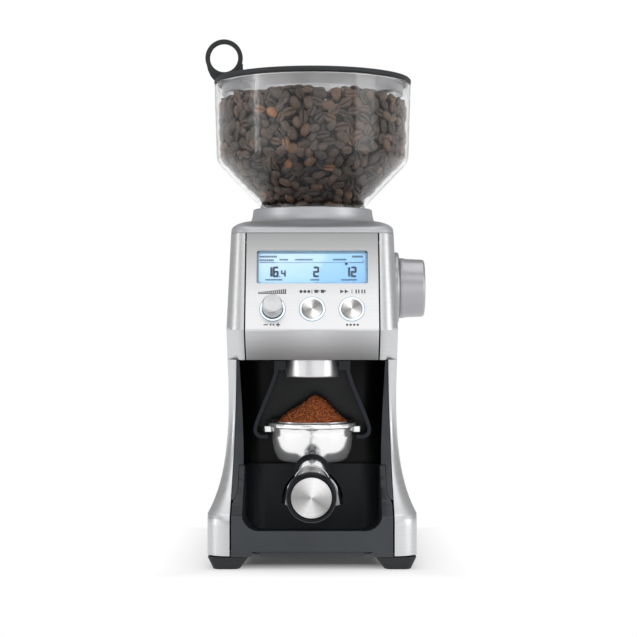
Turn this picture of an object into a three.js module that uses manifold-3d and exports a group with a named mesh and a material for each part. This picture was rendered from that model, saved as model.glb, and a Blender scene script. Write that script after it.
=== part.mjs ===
// Burr coffee grinder, millimetres, +Z up, front towards -Y, dial on +X.
// The origin is the bottom centre of the whole object with its portafilter docked.
import * as THREE from 'three';
import { mergeVertices } from 'three/addons/utils/BufferGeometryUtils.js';
import Module from 'manifold-3d';

const wasm = await Module();
wasm.setup();

// ---------------------------------------------------------------- driving dimensions
const GAP = 0.3; // clearance between neighbouring pieces

// Vertical axes, as distances from the origin towards the back.
const BURR_Y = 64;
const OUTLET_Y = 7;
const MOTOR_Y = 106;

// Steel body outline.
const SKIN = 1.2;
const BASE_BOTTOM_Z = 9.6;
const FLARE_Z = 38;
const BAY_TOP_Z = 146;
const CREASE_Z = 167.7;
const HEAD_TOP_Z = 237.7;
const BASE_HALF_WIDTH = 74;
const WAIST_HALF_WIDTH = 62;
const FLARE_LENGTH = 22;
const HEAD_TAPER = 0.027;
const BASE_FRONT_Y = -48;
const BASE_BACK_Y = 158;
const COLUMN_BACK_Y = 150;
const BAY_BOTTOM_FRONT_Y = -45;
const BAY_WAIST_Y = 10;
const BAY_TOP_FRONT_Y = -15;
const CREASE_Y = -33;
const HEAD_FRONT_Y = -6.5;
const REAR_CORNER = 15;
const REAR_PANEL_HALF = 42;
const SCREW_X = 36;
const SCREW_Z = 224;
const GLAND_X = 26;
const GLAND_Z = 24;
const CORNER_EDGE_X = 57.8; // inner edge of the steel beside the tray
const BAY_EDGE_X = 54.6; // the same edge at the top of the bay
const PILLAR_EDGE_X = 48.5; // inner edge of the steel beside the control panel

// Control panel, laid out on its own sloping plane.
const FASCIA_HALF = PILLAR_EDGE_X - 1;
const FASCIA_THICKNESS = 2;
const PANEL_ANGLE = Math.atan2(HEAD_TOP_Z - CREASE_Z, HEAD_FRONT_Y - CREASE_Y);
const CONTROL_SPACING = 28.2;
const CONTROL_V = 15.9; // height of the controls above the crease, along the slope
const HALO_RADIUS = 9;
const BUTTON_RADIUS = 7.2;
const KNOB_RADIUS = 7;
const KNOB_HEIGHT = 12;
const WINDOW_HALF = 39.8;
const WINDOW_LOW_V = 35.6;
const WINDOW_HIGH_V = 61;

// Top cover and hopper.
const COVER_TOP_Z = 248;
const COLLAR_TOP_Z = 259;
const COLLAR_RADIUS = 45.5;
const COLLAR_BORE = 43;
const SEAT_BORE = 36.6;
const NECK_RADIUS = 39.6;
const SPIGOT_RADIUS = 36;
const SPIGOT_BOTTOM_Z = 222;
const NECK_BOTTOM_Z = 246;
const CONE_BOTTOM_Z = 261;
const CONE_TOP_Z = 296;
const HOPPER_TOP_Z = 354.6;
const HOPPER_WALL = 2;
const HOPPER_LOW_RADIUS = 73.4;
const HOPPER_TOP_RADIUS = 75;
const LID_SEAL_Z = 354.9;
const LID_TOP_Z = 358.5;
const RING_X = -67.9;
const RING_Z = 375.4;
const RING_OUTER = 14.3;
const RING_INNER = 10.8;

// Grind-size dial.
const DIAL_Z = 199.2;
const DIAL_INNER_X = 66;
const DIAL_OUTER_X = 86;
const DIAL_RADIUS = 23.1;
const DIAL_FACE_RADIUS = 21.8;
const ESCUTCHEON_RADIUS = 27.5;

// Gears: one module for the drive pair, one for the dial pinion and its crown ring.
const GEAR_TEETH = 36;
const PINION_TEETH = 9;
const DRIVE_MODULE = 2 * (MOTOR_Y - BURR_Y) / (GEAR_TEETH + PINION_TEETH);
const CROWN_MODULE = 2;
const GEAR_Z = 151;
const GEAR_FACE = 7.5;
const CROWN_PITCH_RADIUS = CROWN_MODULE * GEAR_TEETH / 2;
const CROWN_PITCH_Z = DIAL_Z - CROWN_MODULE * PINION_TEETH / 2;

// Bay, tray and portafilter.
const BAY_HALF = 54;
const BAY_BACK_Y = 64;
const LINER_WALL = 2;
const LINER_LOW_Z = 53.8;
const TRAY_HALF = 56.7;
const TRAY_UPPER_HALF = 53;
const TRAY_STEP_Z = 45;
const TRAY_RIM_Z = 65;
const TRAY_FRONT_RIM_Z = 69;
const TRAY_BACK_Y = 60;
const TRAY_INNER_HALF = 49.3;
const TRAY_FLOOR_Z = 15.5;
const TRAY_LIP_Z = 27;
const SKIRT_ARCH_HALF = 37; // half width of the flat top of the arch between the feet
const TRAY_SHOULDER_Z = 37.5;
const SKIRT_Z = 12.6;
const OUTLET_RADIUS = 20.3;
const CRADLE_FRONT_Y = -8;
const CRADLE_BACK_Y = 44;
const SWITCH_Z = 98;
const RIM_Z = 100;
const RIM_RADIUS = 32.6;
const BOWL_RADIUS = 29.6;
const BOWL_BOTTOM_Z = 71.6;
const HANDLE_SLOPE = 2.6 * Math.PI / 180;
const HANDLE_ROOT_Z = 69.7; // where the handle's axis would cross the bowl's
const SLEEVE_END = 104; // front end of the metal sleeve, along the handle
const HANDLE_END = 165; // from the bowl's axis to the end of the handle, along Y
const GRIP_END_RADIUS = 16.1;
const CAP_RADIUS = 13.1;

// ---------------------------------------------------------------- finishes
function finish(color, roughness, metalness, opacity = 1) {
  const transparent = opacity < 1;
  return new THREE.MeshStandardMaterial({ color, roughness, metalness, opacity, transparent });
}

const brushedSteel = () => finish(0xb9bbbd, 0.34, 1);
const chrome = () => finish(0xd8dadc, 0.08, 1);
const silverPlastic = () => finish(0xa9acae, 0.42, 0.35);
const blackPlastic = () => finish(0x101214, 0.38, 0);
const charcoalPlastic = () => finish(0x3a3f44, 0.45, 0);
const rubber = () => finish(0x17181a, 0.75, 0);
const clearPlastic = () => finish(0xc9cfd2, 0.06, 0, 0.3);
const machinedSteel = () => finish(0x9a9c9e, 0.3, 1);
const nylon = () => finish(0xe6e1d4, 0.5, 0);
const circuitGreen = () => finish(0x1d5a38, 0.5, 0);
const displayBlue = () => finish(0x8ccdf0, 0.3, 0);
const haloWhite = () => finish(0xd9e6ee, 0.4, 0);

// ---------------------------------------------------------------- geometry helpers
// Closed solid from any closed three.js geometry.
function solid(geometry) {
  const bare = geometry.clone();
  bare.deleteAttribute('normal');
  bare.deleteAttribute('uv');
  const merged = mergeVertices(bare, 1e-4);
  const triangles = [];
  for (let i = 0; i < merged.index.count; i += 3) {
    const corner = [0, 1, 2].map((k) => merged.index.getX(i + k));
    const whole = corner[0] !== corner[1] && corner[1] !== corner[2] && corner[2] !== corner[0];
    if (whole) triangles.push(...corner);
  }
  const vertProperties = new Float32Array(merged.attributes.position.array);
  const triVerts = new Uint32Array(triangles);
  return new wasm.Manifold(new wasm.Mesh({ numProp: 3, vertProperties, triVerts }));
}

function geometryOf(body) {
  const mesh = body.getMesh();
  const geometry = new THREE.BufferGeometry();
  geometry.setAttribute('position', new THREE.BufferAttribute(mesh.vertProperties, 3));
  geometry.setIndex(new THREE.BufferAttribute(mesh.triVerts, 1));
  return geometry;
}

const join = (first, ...others) => others.reduce((sum, body) => sum.add(body), first);
const cut = (first, ...others) => others.reduce((rest, body) => rest.subtract(body), first);

const AXES = {
  x: new THREE.Matrix4().makeBasis(
    new THREE.Vector3(0, 1, 0), new THREE.Vector3(0, 0, 1), new THREE.Vector3(1, 0, 0)),
  y: new THREE.Matrix4().makeBasis(
    new THREE.Vector3(1, 0, 0), new THREE.Vector3(0, 0, 1), new THREE.Vector3(0, -1, 0)),
};

// Shape drawn in (x, y), pushed along Z from low to high.
function prism(shape, low, high, segments = 6) {
  const options = { depth: high - low, bevelEnabled: false, curveSegments: segments };
  return new THREE.ExtrudeGeometry(shape, options).translate(0, 0, low);
}

// Shape drawn in (y, z), pushed along X.
function prismX(shape, low, high, segments) {
  return prism(shape, low, high, segments).applyMatrix4(AXES.x);
}

// Shape drawn in (x, z), pushed along Y.
function prismY(shape, low, high, segments) {
  return prism(shape, -high, -low, segments).applyMatrix4(AXES.y);
}

const polygon = (points) => new THREE.Shape(points.map(([a, b]) => new THREE.Vector2(a, b)));

function box(xLow, xHigh, yLow, yHigh, zLow, zHigh) {
  const geometry = new THREE.BoxGeometry(xHigh - xLow, yHigh - yLow, zHigh - zLow);
  return geometry.translate((xLow + xHigh) / 2, (yLow + yHigh) / 2, (zLow + zHigh) / 2);
}

// Profile of [radius, height] points turned about Z; a ring's profile ends where it starts.
function lathe(points, segments = 24) {
  const profile = points.map(([r, z]) => new THREE.Vector2(r, z));
  return new THREE.LatheGeometry(profile, segments).rotateX(Math.PI / 2);
}

function ring(inner, outer, low, high, segments = 24) {
  return lathe([[inner, low], [outer, low], [outer, high], [inner, high], [inner, low]], segments);
}

function disc(radius, low, high, segments = 24) {
  return lathe([[0, low], [radius, low], [radius, high], [0, high]], segments);
}

// Turns a geometry built about Z so that its axis points along +X or -Y.
const layAlongX = (geometry) => geometry.rotateY(Math.PI / 2);
const layAlongFront = (geometry) => geometry.rotateX(Math.PI / 2);

function roundedRectangle(xLow, xHigh, yLow, yHigh, radius) {
  const shape = new THREE.Shape();
  const quarter = Math.PI / 2;
  shape.absarc(xHigh - radius, yLow + radius, radius, -quarter, 0);
  shape.absarc(xHigh - radius, yHigh - radius, radius, 0, quarter);
  shape.absarc(xLow + radius, yHigh - radius, radius, quarter, 2 * quarter);
  shape.absarc(xLow + radius, yLow + radius, radius, 2 * quarter, 3 * quarter);
  return shape;
}

// Closed body through stacked rings that all have the same number of points.
function loft(rings) {
  const size = rings[0].length;
  const positions = rings.flat().flatMap((p) => [p.x, p.y, p.z]);
  const index = [];
  for (let band = 0; band < rings.length - 1; band += 1) {
    for (let k = 0; k < size; k += 1) {
      const a = band * size + k;
      const b = band * size + (k + 1) % size;
      const c = b + size;
      const d = a + size;
      index.push(a, b, c, a, c, d);
    }
  }
  const cap = (ring) => THREE.ShapeUtils.triangulateShape(ring.map((p) => new THREE.Vector2(p.x, p.y)), []);
  const last = (rings.length - 1) * size;
  cap(rings[0]).forEach(([a, b, c]) => index.push(c, b, a));
  cap(rings.at(-1)).forEach(([a, b, c]) => index.push(last + a, last + b, last + c));
  const geometry = new THREE.BufferGeometry();
  geometry.setAttribute('position', new THREE.Float32BufferAttribute(positions, 3));
  geometry.setIndex(index);
  return geometry;
}

// Gear outline with straight-sided teeth; a tooth points along the angle `phase`.
function gearShape(teeth, module, phase, bore) {
  const pitch = module * teeth / 2;
  const root = pitch - 1.2 * module;
  const tip = pitch + 0.9 * module;
  const step = 2 * Math.PI / teeth;
  const corners = [[root, -0.3], [tip, -0.12], [tip, 0.12], [root, 0.3]];
  const points = [];
  for (let tooth = 0; tooth < teeth; tooth += 1) {
    for (const [radius, share] of corners) {
      const angle = phase + (tooth + share) * step;
      points.push([radius * Math.cos(angle), radius * Math.sin(angle)]);
    }
  }
  const shape = polygon(points);
  shape.holes.push(new THREE.Path().absarc(0, 0, bore, 0, 2 * Math.PI, true));
  return shape;
}

// ---------------------------------------------------------------- the steel body's outline
const waist = (z) => Math.exp((FLARE_Z - z) / FLARE_LENGTH);

function bodyHalfWidth(z) {
  if (z <= FLARE_Z) return BASE_HALF_WIDTH;
  const flare = WAIST_HALF_WIDTH + (BASE_HALF_WIDTH - WAIST_HALF_WIDTH) * waist(z);
  return flare - HEAD_TAPER * Math.max(0, z - BAY_TOP_Z);
}

function bodyBackY(z) {
  if (z <= FLARE_Z) return BASE_BACK_Y;
  const flare = COLUMN_BACK_Y + (BASE_BACK_Y - COLUMN_BACK_Y) * waist(z);
  return flare - HEAD_TAPER * Math.max(0, z - BAY_TOP_Z);
}

const between = (low, high, share) => low + (high - low) * share;

function bodyFrontY(z) {
  if (z <= FLARE_Z - 4) return BASE_FRONT_Y;
  if (z <= FLARE_Z) return between(BASE_FRONT_Y, BAY_BOTTOM_FRONT_Y, (z - FLARE_Z + 4) / 4);
  if (z <= BAY_TOP_Z) {
    const t = (z - FLARE_Z) / (BAY_TOP_Z - FLARE_Z);
    const bow = 4 * BAY_WAIST_Y - BAY_BOTTOM_FRONT_Y - BAY_TOP_FRONT_Y;
    return BAY_BOTTOM_FRONT_Y * (1 - t) ** 2 + bow * t * (1 - t) + BAY_TOP_FRONT_Y * t ** 2;
  }
  if (z <= CREASE_Z) {
    return between(BAY_TOP_FRONT_Y, CREASE_Y, (z - BAY_TOP_Z) / (CREASE_Z - BAY_TOP_Z));
  }
  return between(CREASE_Y, HEAD_FRONT_Y, (z - CREASE_Z) / (HEAD_TOP_Z - CREASE_Z));
}

// Depth of the front corner's rounding: tight at the base and the crease, long between them.
function cornerDepth(z) {
  if (z <= FLARE_Z) return 13;
  if (z <= BAY_TOP_Z) return between(13, 22, (z - FLARE_Z) / (BAY_TOP_Z - FLARE_Z));
  return between(22, 13, Math.min(1, (z - BAY_TOP_Z) / (CREASE_Z - BAY_TOP_Z)));
}

// Plan of one side of the skin at height z, from the front edge to the rear edge, moved in by `inset`.
function skinPath(z, edgeX, inset) {
  const half = bodyHalfWidth(z) - inset;
  const front = bodyFrontY(z) + inset;
  const back = bodyBackY(z) - inset;
  const width = half - edgeX;
  const depth = cornerDepth(z) - inset;
  const rear = REAR_CORNER - inset;
  const points = [];
  for (let step = 0; step <= 4; step += 1) {
    const angle = step / 4 * Math.PI / 2;
    points.push([edgeX + width * Math.sin(angle), front + depth * (1 - Math.cos(angle))]);
  }
  for (let step = 0; step <= 4; step += 1) {
    const angle = step / 4 * Math.PI / 2;
    points.push([half - rear * (1 - Math.cos(angle)), back - rear * (1 - Math.sin(angle))]);
  }
  points.push([REAR_PANEL_HALF + GAP, back]);
  return points.map(([x, y]) => new THREE.Vector3(x, y, z));
}

// Inner edge of the steel beside the bay, which closes in slightly towards the top.
function bayEdgeX(z) {
  const rise = Math.max(0, z - TRAY_STEP_Z) / (BAY_TOP_Z - TRAY_STEP_Z);
  return between(CORNER_EDGE_X, BAY_EDGE_X, rise ** 2);
}

function skinLoft(levels, edgeAt) {
  return loft(levels.map((z) => [
    ...skinPath(z, edgeAt(z), 0),
    ...skinPath(z, edgeAt(z), SKIN).reverse(),
  ]));
}

// ---------------------------------------------------------------- casing pieces
const FLARE_LEVELS = [FLARE_Z, 44, 52, 64, 80, 100, 124]; // closer together where the flare is tight

function sidePanel(withDialHole) {
  const lower = skinLoft([BASE_BOTTOM_Z, FLARE_Z - 4, ...FLARE_LEVELS, BAY_TOP_Z + 0.2], bayEdgeX);
  const upper = skinLoft([BAY_TOP_Z, CREASE_Z, HEAD_TOP_Z], () => PILLAR_EDGE_X);
  let panel = join(solid(lower), solid(upper));
  if (withDialHole) {
    const hole = layAlongX(disc(20, 40, 80)).translate(0, BURR_Y, DIAL_Z);
    panel = cut(panel, solid(hole));
  }
  return panel;
}

function mirrorX(body) {
  const geometry = geometryOf(body);
  geometry.scale(-1, 1, 1);
  geometry.setIndex([...geometry.index.array].reverse());
  return geometry;
}

function rearCover() {
  const levels = [BASE_BOTTOM_Z, ...FLARE_LEVELS, BAY_TOP_Z, HEAD_TOP_Z];
  const half = REAR_PANEL_HALF;
  const sheet = loft(levels.map((z) => {
    const back = bodyBackY(z);
    return [[half, back - 2], [half, back], [-half, back], [-half, back - 2]]
      .map(([x, y]) => new THREE.Vector3(x, y, z));
  }));
  const vents = [170, 178, 186, 194, 202].map((z) => solid(box(-28, 28, 130, 170, z, z + 3.4)));
  const glandHole = layAlongFront(disc(6.4, -170, -140, 24)).translate(GLAND_X, 0, GLAND_Z);
  const screwHoles = [-SCREW_X, SCREW_X].map((x) => {
    return solid(layAlongFront(disc(1.9, -170, -130, 12)).translate(x, 0, SCREW_Z));
  });
  return cut(solid(sheet), ...vents, ...screwHoles, solid(glandHole));
}

function fascia() {
  const front = [[BAY_TOP_FRONT_Y, BAY_TOP_Z], [CREASE_Y, CREASE_Z], [HEAD_FRONT_Y, HEAD_TOP_Z]];
  const back = front.map(([y, z]) => [y + FASCIA_THICKNESS / Math.sin(PANEL_ANGLE), z]).reverse();
  const plate = prismX(polygon([...front, ...back].reverse()), -FASCIA_HALF, FASCIA_HALF);
  const holes = controlPlaces().map(({ x, y }) => {
    return onPanel(disc(HALO_RADIUS + GAP, -8, 8, 24).translate(x, y, 0));
  });
  const window = onPanel(box(-WINDOW_HALF, WINDOW_HALF, WINDOW_LOW_V, WINDOW_HIGH_V, -8, 8));
  return cut(solid(plate), ...holes.map(solid), solid(window));
}

// Moves a geometry from the panel's own plane (x, up the slope, outwards) into place.
function onPanel(geometry) {
  return geometry.rotateX(PANEL_ANGLE).translate(0, CREASE_Y, CREASE_Z);
}

function controlPlaces() {
  return [-1, 0, 1].map((side) => ({ x: side * CONTROL_SPACING, y: CONTROL_V }));
}

// Rounded plan of the top cover, moved in by `inset` at the sides and back, and by `frontInset` in front.
function coverRing(z, inset, frontInset) {
  const half = bodyHalfWidth(HEAD_TOP_Z) - inset;
  const back = bodyBackY(HEAD_TOP_Z) - inset;
  const front = HEAD_FRONT_Y + frontInset;
  const radius = REAR_CORNER - inset * 0.5;
  const points = roundedRectangle(-half, half, front, back, radius).getPoints(3);
  const unique = points.filter((p, i) => i === 0 || p.distanceTo(points[i - 1]) > 1e-3);
  return unique.map((p) => new THREE.Vector3(p.x, p.y, z));
}

function topCover() {
  const bottom = HEAD_TOP_Z + GAP;
  const shell = loft([
    coverRing(bottom, 0, 0), coverRing(241.5, 0.4, 1.5), coverRing(243.5, 2, 4.5), coverRing(245.4, 4.8, 9.5),
    coverRing(247.2, 9.6, 17), coverRing(COVER_TOP_Z, 13.5, 25.5),
  ]);
  const hollow = loft([coverRing(bottom - 1, 2.4, 2.4), coverRing(240, 2.6, 6), coverRing(244, 8, 17)]);
  const collar = lathe([
    [0, 236.5], [COLLAR_BORE + 2, 236.5], [48.6, COVER_TOP_Z - 1], [47, 250.2], [46.2, 253],
    [COLLAR_RADIUS, COLLAR_TOP_Z - 1], [COLLAR_RADIUS - 1, COLLAR_TOP_Z], [0, COLLAR_TOP_Z],
  ], 32).translate(0, BURR_Y, 0);
  const bore = lathe([
    [0, 230], [SEAT_BORE, 230], [SEAT_BORE, NECK_BOTTOM_Z - GAP], [COLLAR_BORE, NECK_BOTTOM_Z - GAP],
    [COLLAR_BORE, 270], [0, 270],
  ], 32).translate(0, BURR_Y, 0);
  return cut(join(cut(solid(shell), solid(hollow)), solid(collar)), solid(bore));
}

function basePan() {
  const half = BASE_HALF_WIDTH - SKIN - 2 * GAP;
  const plate = prism(roundedRectangle(-half, half, BASE_FRONT_Y + 2, BASE_BACK_Y - 2.6, 15), 9, 12.2, 4);
  const mouthLow = SKIRT_ARCH_HALF - 0.5;
  const mouths = [[-TRAY_HALF - GAP, -mouthLow], [mouthLow, TRAY_HALF + GAP]].map(([low, high]) => {
    return solid(box(low, high, BASE_FRONT_Y - 2, BASE_FRONT_Y + 14, 0, 20));
  });
  return cut(solid(plate), ...mouths);
}

// Tapered block under one corner, wider at the top than where it meets the surface, rounded like the base.
function foot(side, end) {
  const innerEdge = end > 0 ? BASE_FRONT_Y : BASE_BACK_Y;
  const block = polygon([[50.8, 0], [69.4, 0], [73.6, 8.7], [44.4, 8.7]]);
  const across = solid(prismY(block, -30, 0));
  const lengthwise = solid(prismX(polygon([[-29.4, 0], [-2.6, 0], [-0.4, 8.7], [-33, 8.7]]), 40, 80));
  const corner = solid(prism(roundedRectangle(0, 73.6, -60, -0.4, 13), -1, 10, 4));
  const body = geometryOf(across.intersect(lengthwise).intersect(corner));
  const turned = body.scale(side, -end, 1);
  if (side * end > 0) turned.setIndex([...turned.index.array].reverse());
  return turned.translate(0, innerEdge, 0);
}

// ---------------------------------------------------------------- bay
function bayCurve(offset, low, high, steps) {
  const points = [];
  for (let step = 0; step <= steps; step += 1) {
    const z = between(low, high, step / steps);
    points.push([bodyFrontY(z) + offset, z]);
  }
  return points;
}

function bayLiner() {
  const outer = BAY_HALF + LINER_WALL;
  const corner = 16;
  const wallShape = (half, back, radius) => {
    const shape = new THREE.Shape();
    shape.moveTo(-half, -60);
    shape.lineTo(half, -60);
    shape.absarc(half - radius, back - radius, radius, 0, Math.PI / 2);
    shape.absarc(-half + radius, back - radius, radius, Math.PI / 2, Math.PI);
    return shape;
  };
  const outerWall = wallShape(outer, BAY_BACK_Y + LINER_WALL, corner + LINER_WALL);
  const block = solid(prism(outerWall, LINER_LOW_Z, 147.6, 5));
  const hollow = solid(prism(wallShape(BAY_HALF, BAY_BACK_Y, corner), LINER_LOW_Z - 5, 145.6, 5));
  const roof = [[-4, 145.7], [-4, 150], [90, 150]];
  const side = polygon([...bayCurve(4.1, LINER_LOW_Z - 2, 145.6, 8), ...roof, [90, LINER_LOW_Z - 2]]);
  const kept = solid(prismX(side, -70, 70));
  const outletHole = solid(disc(24.3, 140, 150).translate(0, OUTLET_Y, 0));
  return cut(block, hollow, outletHole).intersect(kept);
}

// Outline of the tray's sides up to a height: wide below, drawn in by a soft curve above the shoulder.
function traySides(offset, top) {
  const edge = [
    [TRAY_HALF, 0], [TRAY_HALF, 44.5], [56, 46.2], [54.8, 48.4], [53.6, 50.6], [TRAY_UPPER_HALF, 53.2],
    [TRAY_UPPER_HALF, top],
  ];
  const right = edge.map(([x, z]) => [x + offset, z]);
  return prismY(polygon([...right, ...right.map(([x, z]) => [-x, z]).reverse()]), -80, 80);
}

// Charcoal flange along the front edge of the bay: two curved strips and the bar that joins them on top.
function bayFrame() {
  const low = 47;
  const strip = [...bayCurve(0.4, low, 145.6, 8), ...bayCurve(3.4, low, 145.6, 8).reverse()];
  const edge = [low, 80, 110, 130, 150].map((z) => [bayEdgeX(z) - 0.4, z]);
  const outline = prismY(polygon([...edge, ...edge.map(([x, z]) => [-x, z]).reverse()]), -80, 80);
  const flange = solid(prismX(polygon(strip.reverse()), -60, 60)).intersect(solid(outline));
  const opening = polygon([
    [-50.6, 0], [50.6, 0], [50.6, 78], [51.6, 96], [52, 130], [52, 140.4], [49.6, 143.4],
    [-49.6, 143.4], [-52, 140.4], [-52, 130], [-51.6, 96], [-50.6, 78],
  ]);
  const trayRelief = traySides(GAP, TRAY_FRONT_RIM_Z + 0.6);
  const outletRelief = disc(OUTLET_RADIUS + 0.4, 130, 150).translate(0, OUTLET_Y, 0);
  return cut(flange, solid(prismY(opening, -80, 80)), solid(trayRelief), solid(outletRelief));
}

// Bell-shaped cradle: back plate, two flared arms that curl in at the bottom, and a crown round the outlet.
function cradle() {
  const arm = [
    [24.6, 145.3], [27.5, 145.3], [27.5, 137], [30.5, 128], [35, 117], [39.5, 106], [42.5, 97], [42.3, 92.5],
    [39.5, 89.6], [36, 89], [32, 89.2], [32, 91.6], [35.6, 91.5], [38.2, 91.9], [39.8, 94.2], [40, 97],
    [37, 105], [32.5, 116], [28, 127], [25, 136], [24.6, 138],
  ];
  const armShape = polygon(arm.reverse());
  const right = solid(prismY(armShape, CRADLE_FRONT_Y, CRADLE_BACK_Y));
  const left = solid(mirrorX(right));
  const bell = [
    [27.5, 145.3], [27.5, 137], [30.5, 128], [35, 117], [39.5, 106], [42.5, 97], [42.3, 92.5], [39.5, 89.6],
  ];
  const plate = [...bell.map(([x, z]) => [-x, z]), ...bell.slice().reverse()];
  const back = solid(prismY(polygon(plate), CRADLE_BACK_Y - 2.5, CRADLE_BACK_Y));
  const crown = solid(box(-27, 27, CRADLE_FRONT_Y, CRADLE_BACK_Y, 138.5, 145.3));
  const outletHole = solid(disc(24.3, 130, 160).translate(0, OUTLET_Y, 0));
  const switchHole = solid(layAlongFront(disc(4.7, -60, -30, 16)).translate(0, 0, SWITCH_Z));
  const post = solid(box(-8, 8, CRADLE_BACK_Y - 0.5, BAY_BACK_Y - GAP, 112, 128));
  return cut(join(back, right, left, crown, post), outletHole, switchHole);
}

function portafilterSwitch() {
  const plunger = lathe([[0, -54], [4.2, -54], [4.2, -40.8], [3.2, -40], [0, -40]], 16);
  return layAlongFront(plunger).translate(0, 0, SWITCH_Z);
}

function trayBody() {
  const side = [
    [BASE_FRONT_Y, SKIRT_Z], [BASE_FRONT_Y, TRAY_SHOULDER_Z - 1.5], [BASE_FRONT_Y + 1.5, TRAY_SHOULDER_Z],
    ...bayCurve(0.6, FLARE_Z + 1, TRAY_FRONT_RIM_Z, 6), [TRAY_BACK_Y, TRAY_RIM_Z], [TRAY_BACK_Y, SKIRT_Z],
  ];
  const lowerLimit = solid(box(-TRAY_HALF, TRAY_HALF, -60, 80, 0, TRAY_STEP_Z));
  const plan = (half) => roundedRectangle(-half, half, -90, TRAY_BACK_Y, 18);
  const middleLimit = solid(prism(plan(TRAY_HALF), TRAY_STEP_Z - 1, LINER_LOW_Z, 5));
  const upperLimit = solid(prism(plan(TRAY_UPPER_HALF), LINER_LOW_Z - 1, 80, 5));
  const limit = join(lowerLimit, middleLimit, upperLimit).intersect(solid(traySides(0, 80)));
  const whole = solid(prismX(polygon(side.reverse()), -TRAY_HALF, TRAY_HALF));
  const skirt = polygon([
    [-TRAY_HALF, 8.9], [-44, 8.9], [-SKIRT_ARCH_HALF, SKIRT_Z], [SKIRT_ARCH_HALF, SKIRT_Z], [44, 8.9],
    [TRAY_HALF, 8.9],
    [TRAY_HALF, 20], [-TRAY_HALF, 20],
  ]);
  const skirtBody = solid(prismY(skirt, BASE_FRONT_Y, BASE_FRONT_Y + 13));
  const scoop = prismY(roundedRectangle(-TRAY_INNER_HALF, TRAY_INNER_HALF, TRAY_FLOOR_Z, 120, 14),
    BASE_FRONT_Y + 3, TRAY_BACK_Y - 3, 4);
  const innerPlan = roundedRectangle(-TRAY_INNER_HALF, TRAY_INNER_HALF, -90, TRAY_BACK_Y - 3, 14);
  const scoopPlan = prism(innerPlan, 0, 130, 4);
  const mouthShape = roundedRectangle(-TRAY_INNER_HALF, TRAY_INNER_HALF, TRAY_LIP_Z, 120, 12);
  const mouth = prismY(mouthShape, -70, -30, 4);
  const walls = join(whole.intersect(limit), skirtBody);
  return cut(walls, solid(scoop).intersect(solid(scoopPlan)), solid(mouth));
}

// ---------------------------------------------------------------- hopper and lid
function hopperShell() {
  const w = HOPPER_WALL;
  const body = lathe([
    [0, SPIGOT_BOTTOM_Z], [SPIGOT_RADIUS, SPIGOT_BOTTOM_Z], [SPIGOT_RADIUS, NECK_BOTTOM_Z],
    [NECK_RADIUS, NECK_BOTTOM_Z], [NECK_RADIUS, CONE_BOTTOM_Z], [HOPPER_LOW_RADIUS - 1.5, CONE_TOP_Z - 1.5],
    [HOPPER_LOW_RADIUS, CONE_TOP_Z + 2], [HOPPER_TOP_RADIUS, HOPPER_TOP_Z],
    [HOPPER_TOP_RADIUS - w, HOPPER_TOP_Z],
    [HOPPER_LOW_RADIUS - w, CONE_TOP_Z + 2.6], [NECK_RADIUS - w, CONE_BOTTOM_Z + 1.4],
    [NECK_RADIUS - w, NECK_BOTTOM_Z + 3], [SPIGOT_RADIUS - w, NECK_BOTTOM_Z],
    [SPIGOT_RADIUS - w, SPIGOT_BOTTOM_Z + w],
    [0, SPIGOT_BOTTOM_Z + w],
  ], 32);
  const stem = disc(5.4, 200, 240, 16);
  const cutters = [0, Math.PI].map((turn) => solid(feedSector(30, 200, 240).rotateZ(turn)));
  return geometryOf(cut(solid(body), solid(stem), ...cutters)).translate(0, BURR_Y, 0);
}

// Quarter-turn opening that lets beans fall from the hopper when it lines up with the gate's.
function feedSector(outer, low, high) {
  const shape = new THREE.Shape();
  shape.absarc(0, 0, outer, -0.6, 0.6);
  shape.absarc(0, 0, 11, 0.6, -0.6, true);
  return prism(shape, low, high, 8);
}

function hopperGate() {
  const plate = disc(SPIGOT_RADIUS, 219.4, 221.7);
  const socket = disc(3.3, 210, 230, 16);
  const cutters = [0, Math.PI].map((turn) => solid(feedSector(30, 210, 230).rotateZ(turn)));
  return geometryOf(cut(solid(plate), solid(socket), ...cutters)).translate(0, BURR_Y, 0);
}

function hopperLockKnob() {
  const stem = lathe([
    [0, 217], [3, 217], [3, 222.4], [5, 222.4], [5, 262], [13, 266], [13, 270], [0, 270],
  ], 20);
  const wing = prismX(roundedRectangle(-16, 16, 268, 284, 5), -2.5, 2.5, 4);
  return geometryOf(join(solid(stem), solid(wing))).translate(0, BURR_Y, 0);
}

function lidDisc() {
  const profile = [
    [0, 355.6], [67.2, 355.6], [67.2, 346], [69.4, 346], [69.4, 358], [0, 358],
  ];
  return lathe(profile, 28).translate(0, BURR_Y, 0);
}

function lidSeal() {
  const band = lathe([
    [70.1, LID_SEAL_Z - 1.6], [72.2, LID_SEAL_Z - 1.6], [72.2, LID_SEAL_Z], [74.6, LID_SEAL_Z],
    [75.3, LID_SEAL_Z + 0.8], [75.3, LID_TOP_Z - 1], [74.2, LID_TOP_Z], [70.1, LID_TOP_Z],
    [70.1, LID_SEAL_Z - 1.6],
  ], 32);
  const loopShape = new THREE.Shape();
  loopShape.absarc(RING_X, RING_Z, RING_OUTER, 0, 2 * Math.PI);
  loopShape.holes.push(new THREE.Path().absarc(RING_X, RING_Z, RING_INNER, 0, 2 * Math.PI, true));
  const loop = prismY(loopShape, -2.6, 2.6, 20);
  const web = prismY(polygon([
    [-74.4, 357.5], [-70, 357.5], [-70, 358.3], [-53, 358.3], [-60, 362.6], [-67.5, 362], [-75, 362.4],
  ]), -2.2, 2.2);
  return geometryOf(join(solid(band), solid(loop), solid(web))).translate(0, BURR_Y, 0);
}

// ---------------------------------------------------------------- controls on the sloping panel
function haloRing() {
  return ring(BUTTON_RADIUS + GAP, HALO_RADIUS, -4, 0.4);
}

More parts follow.
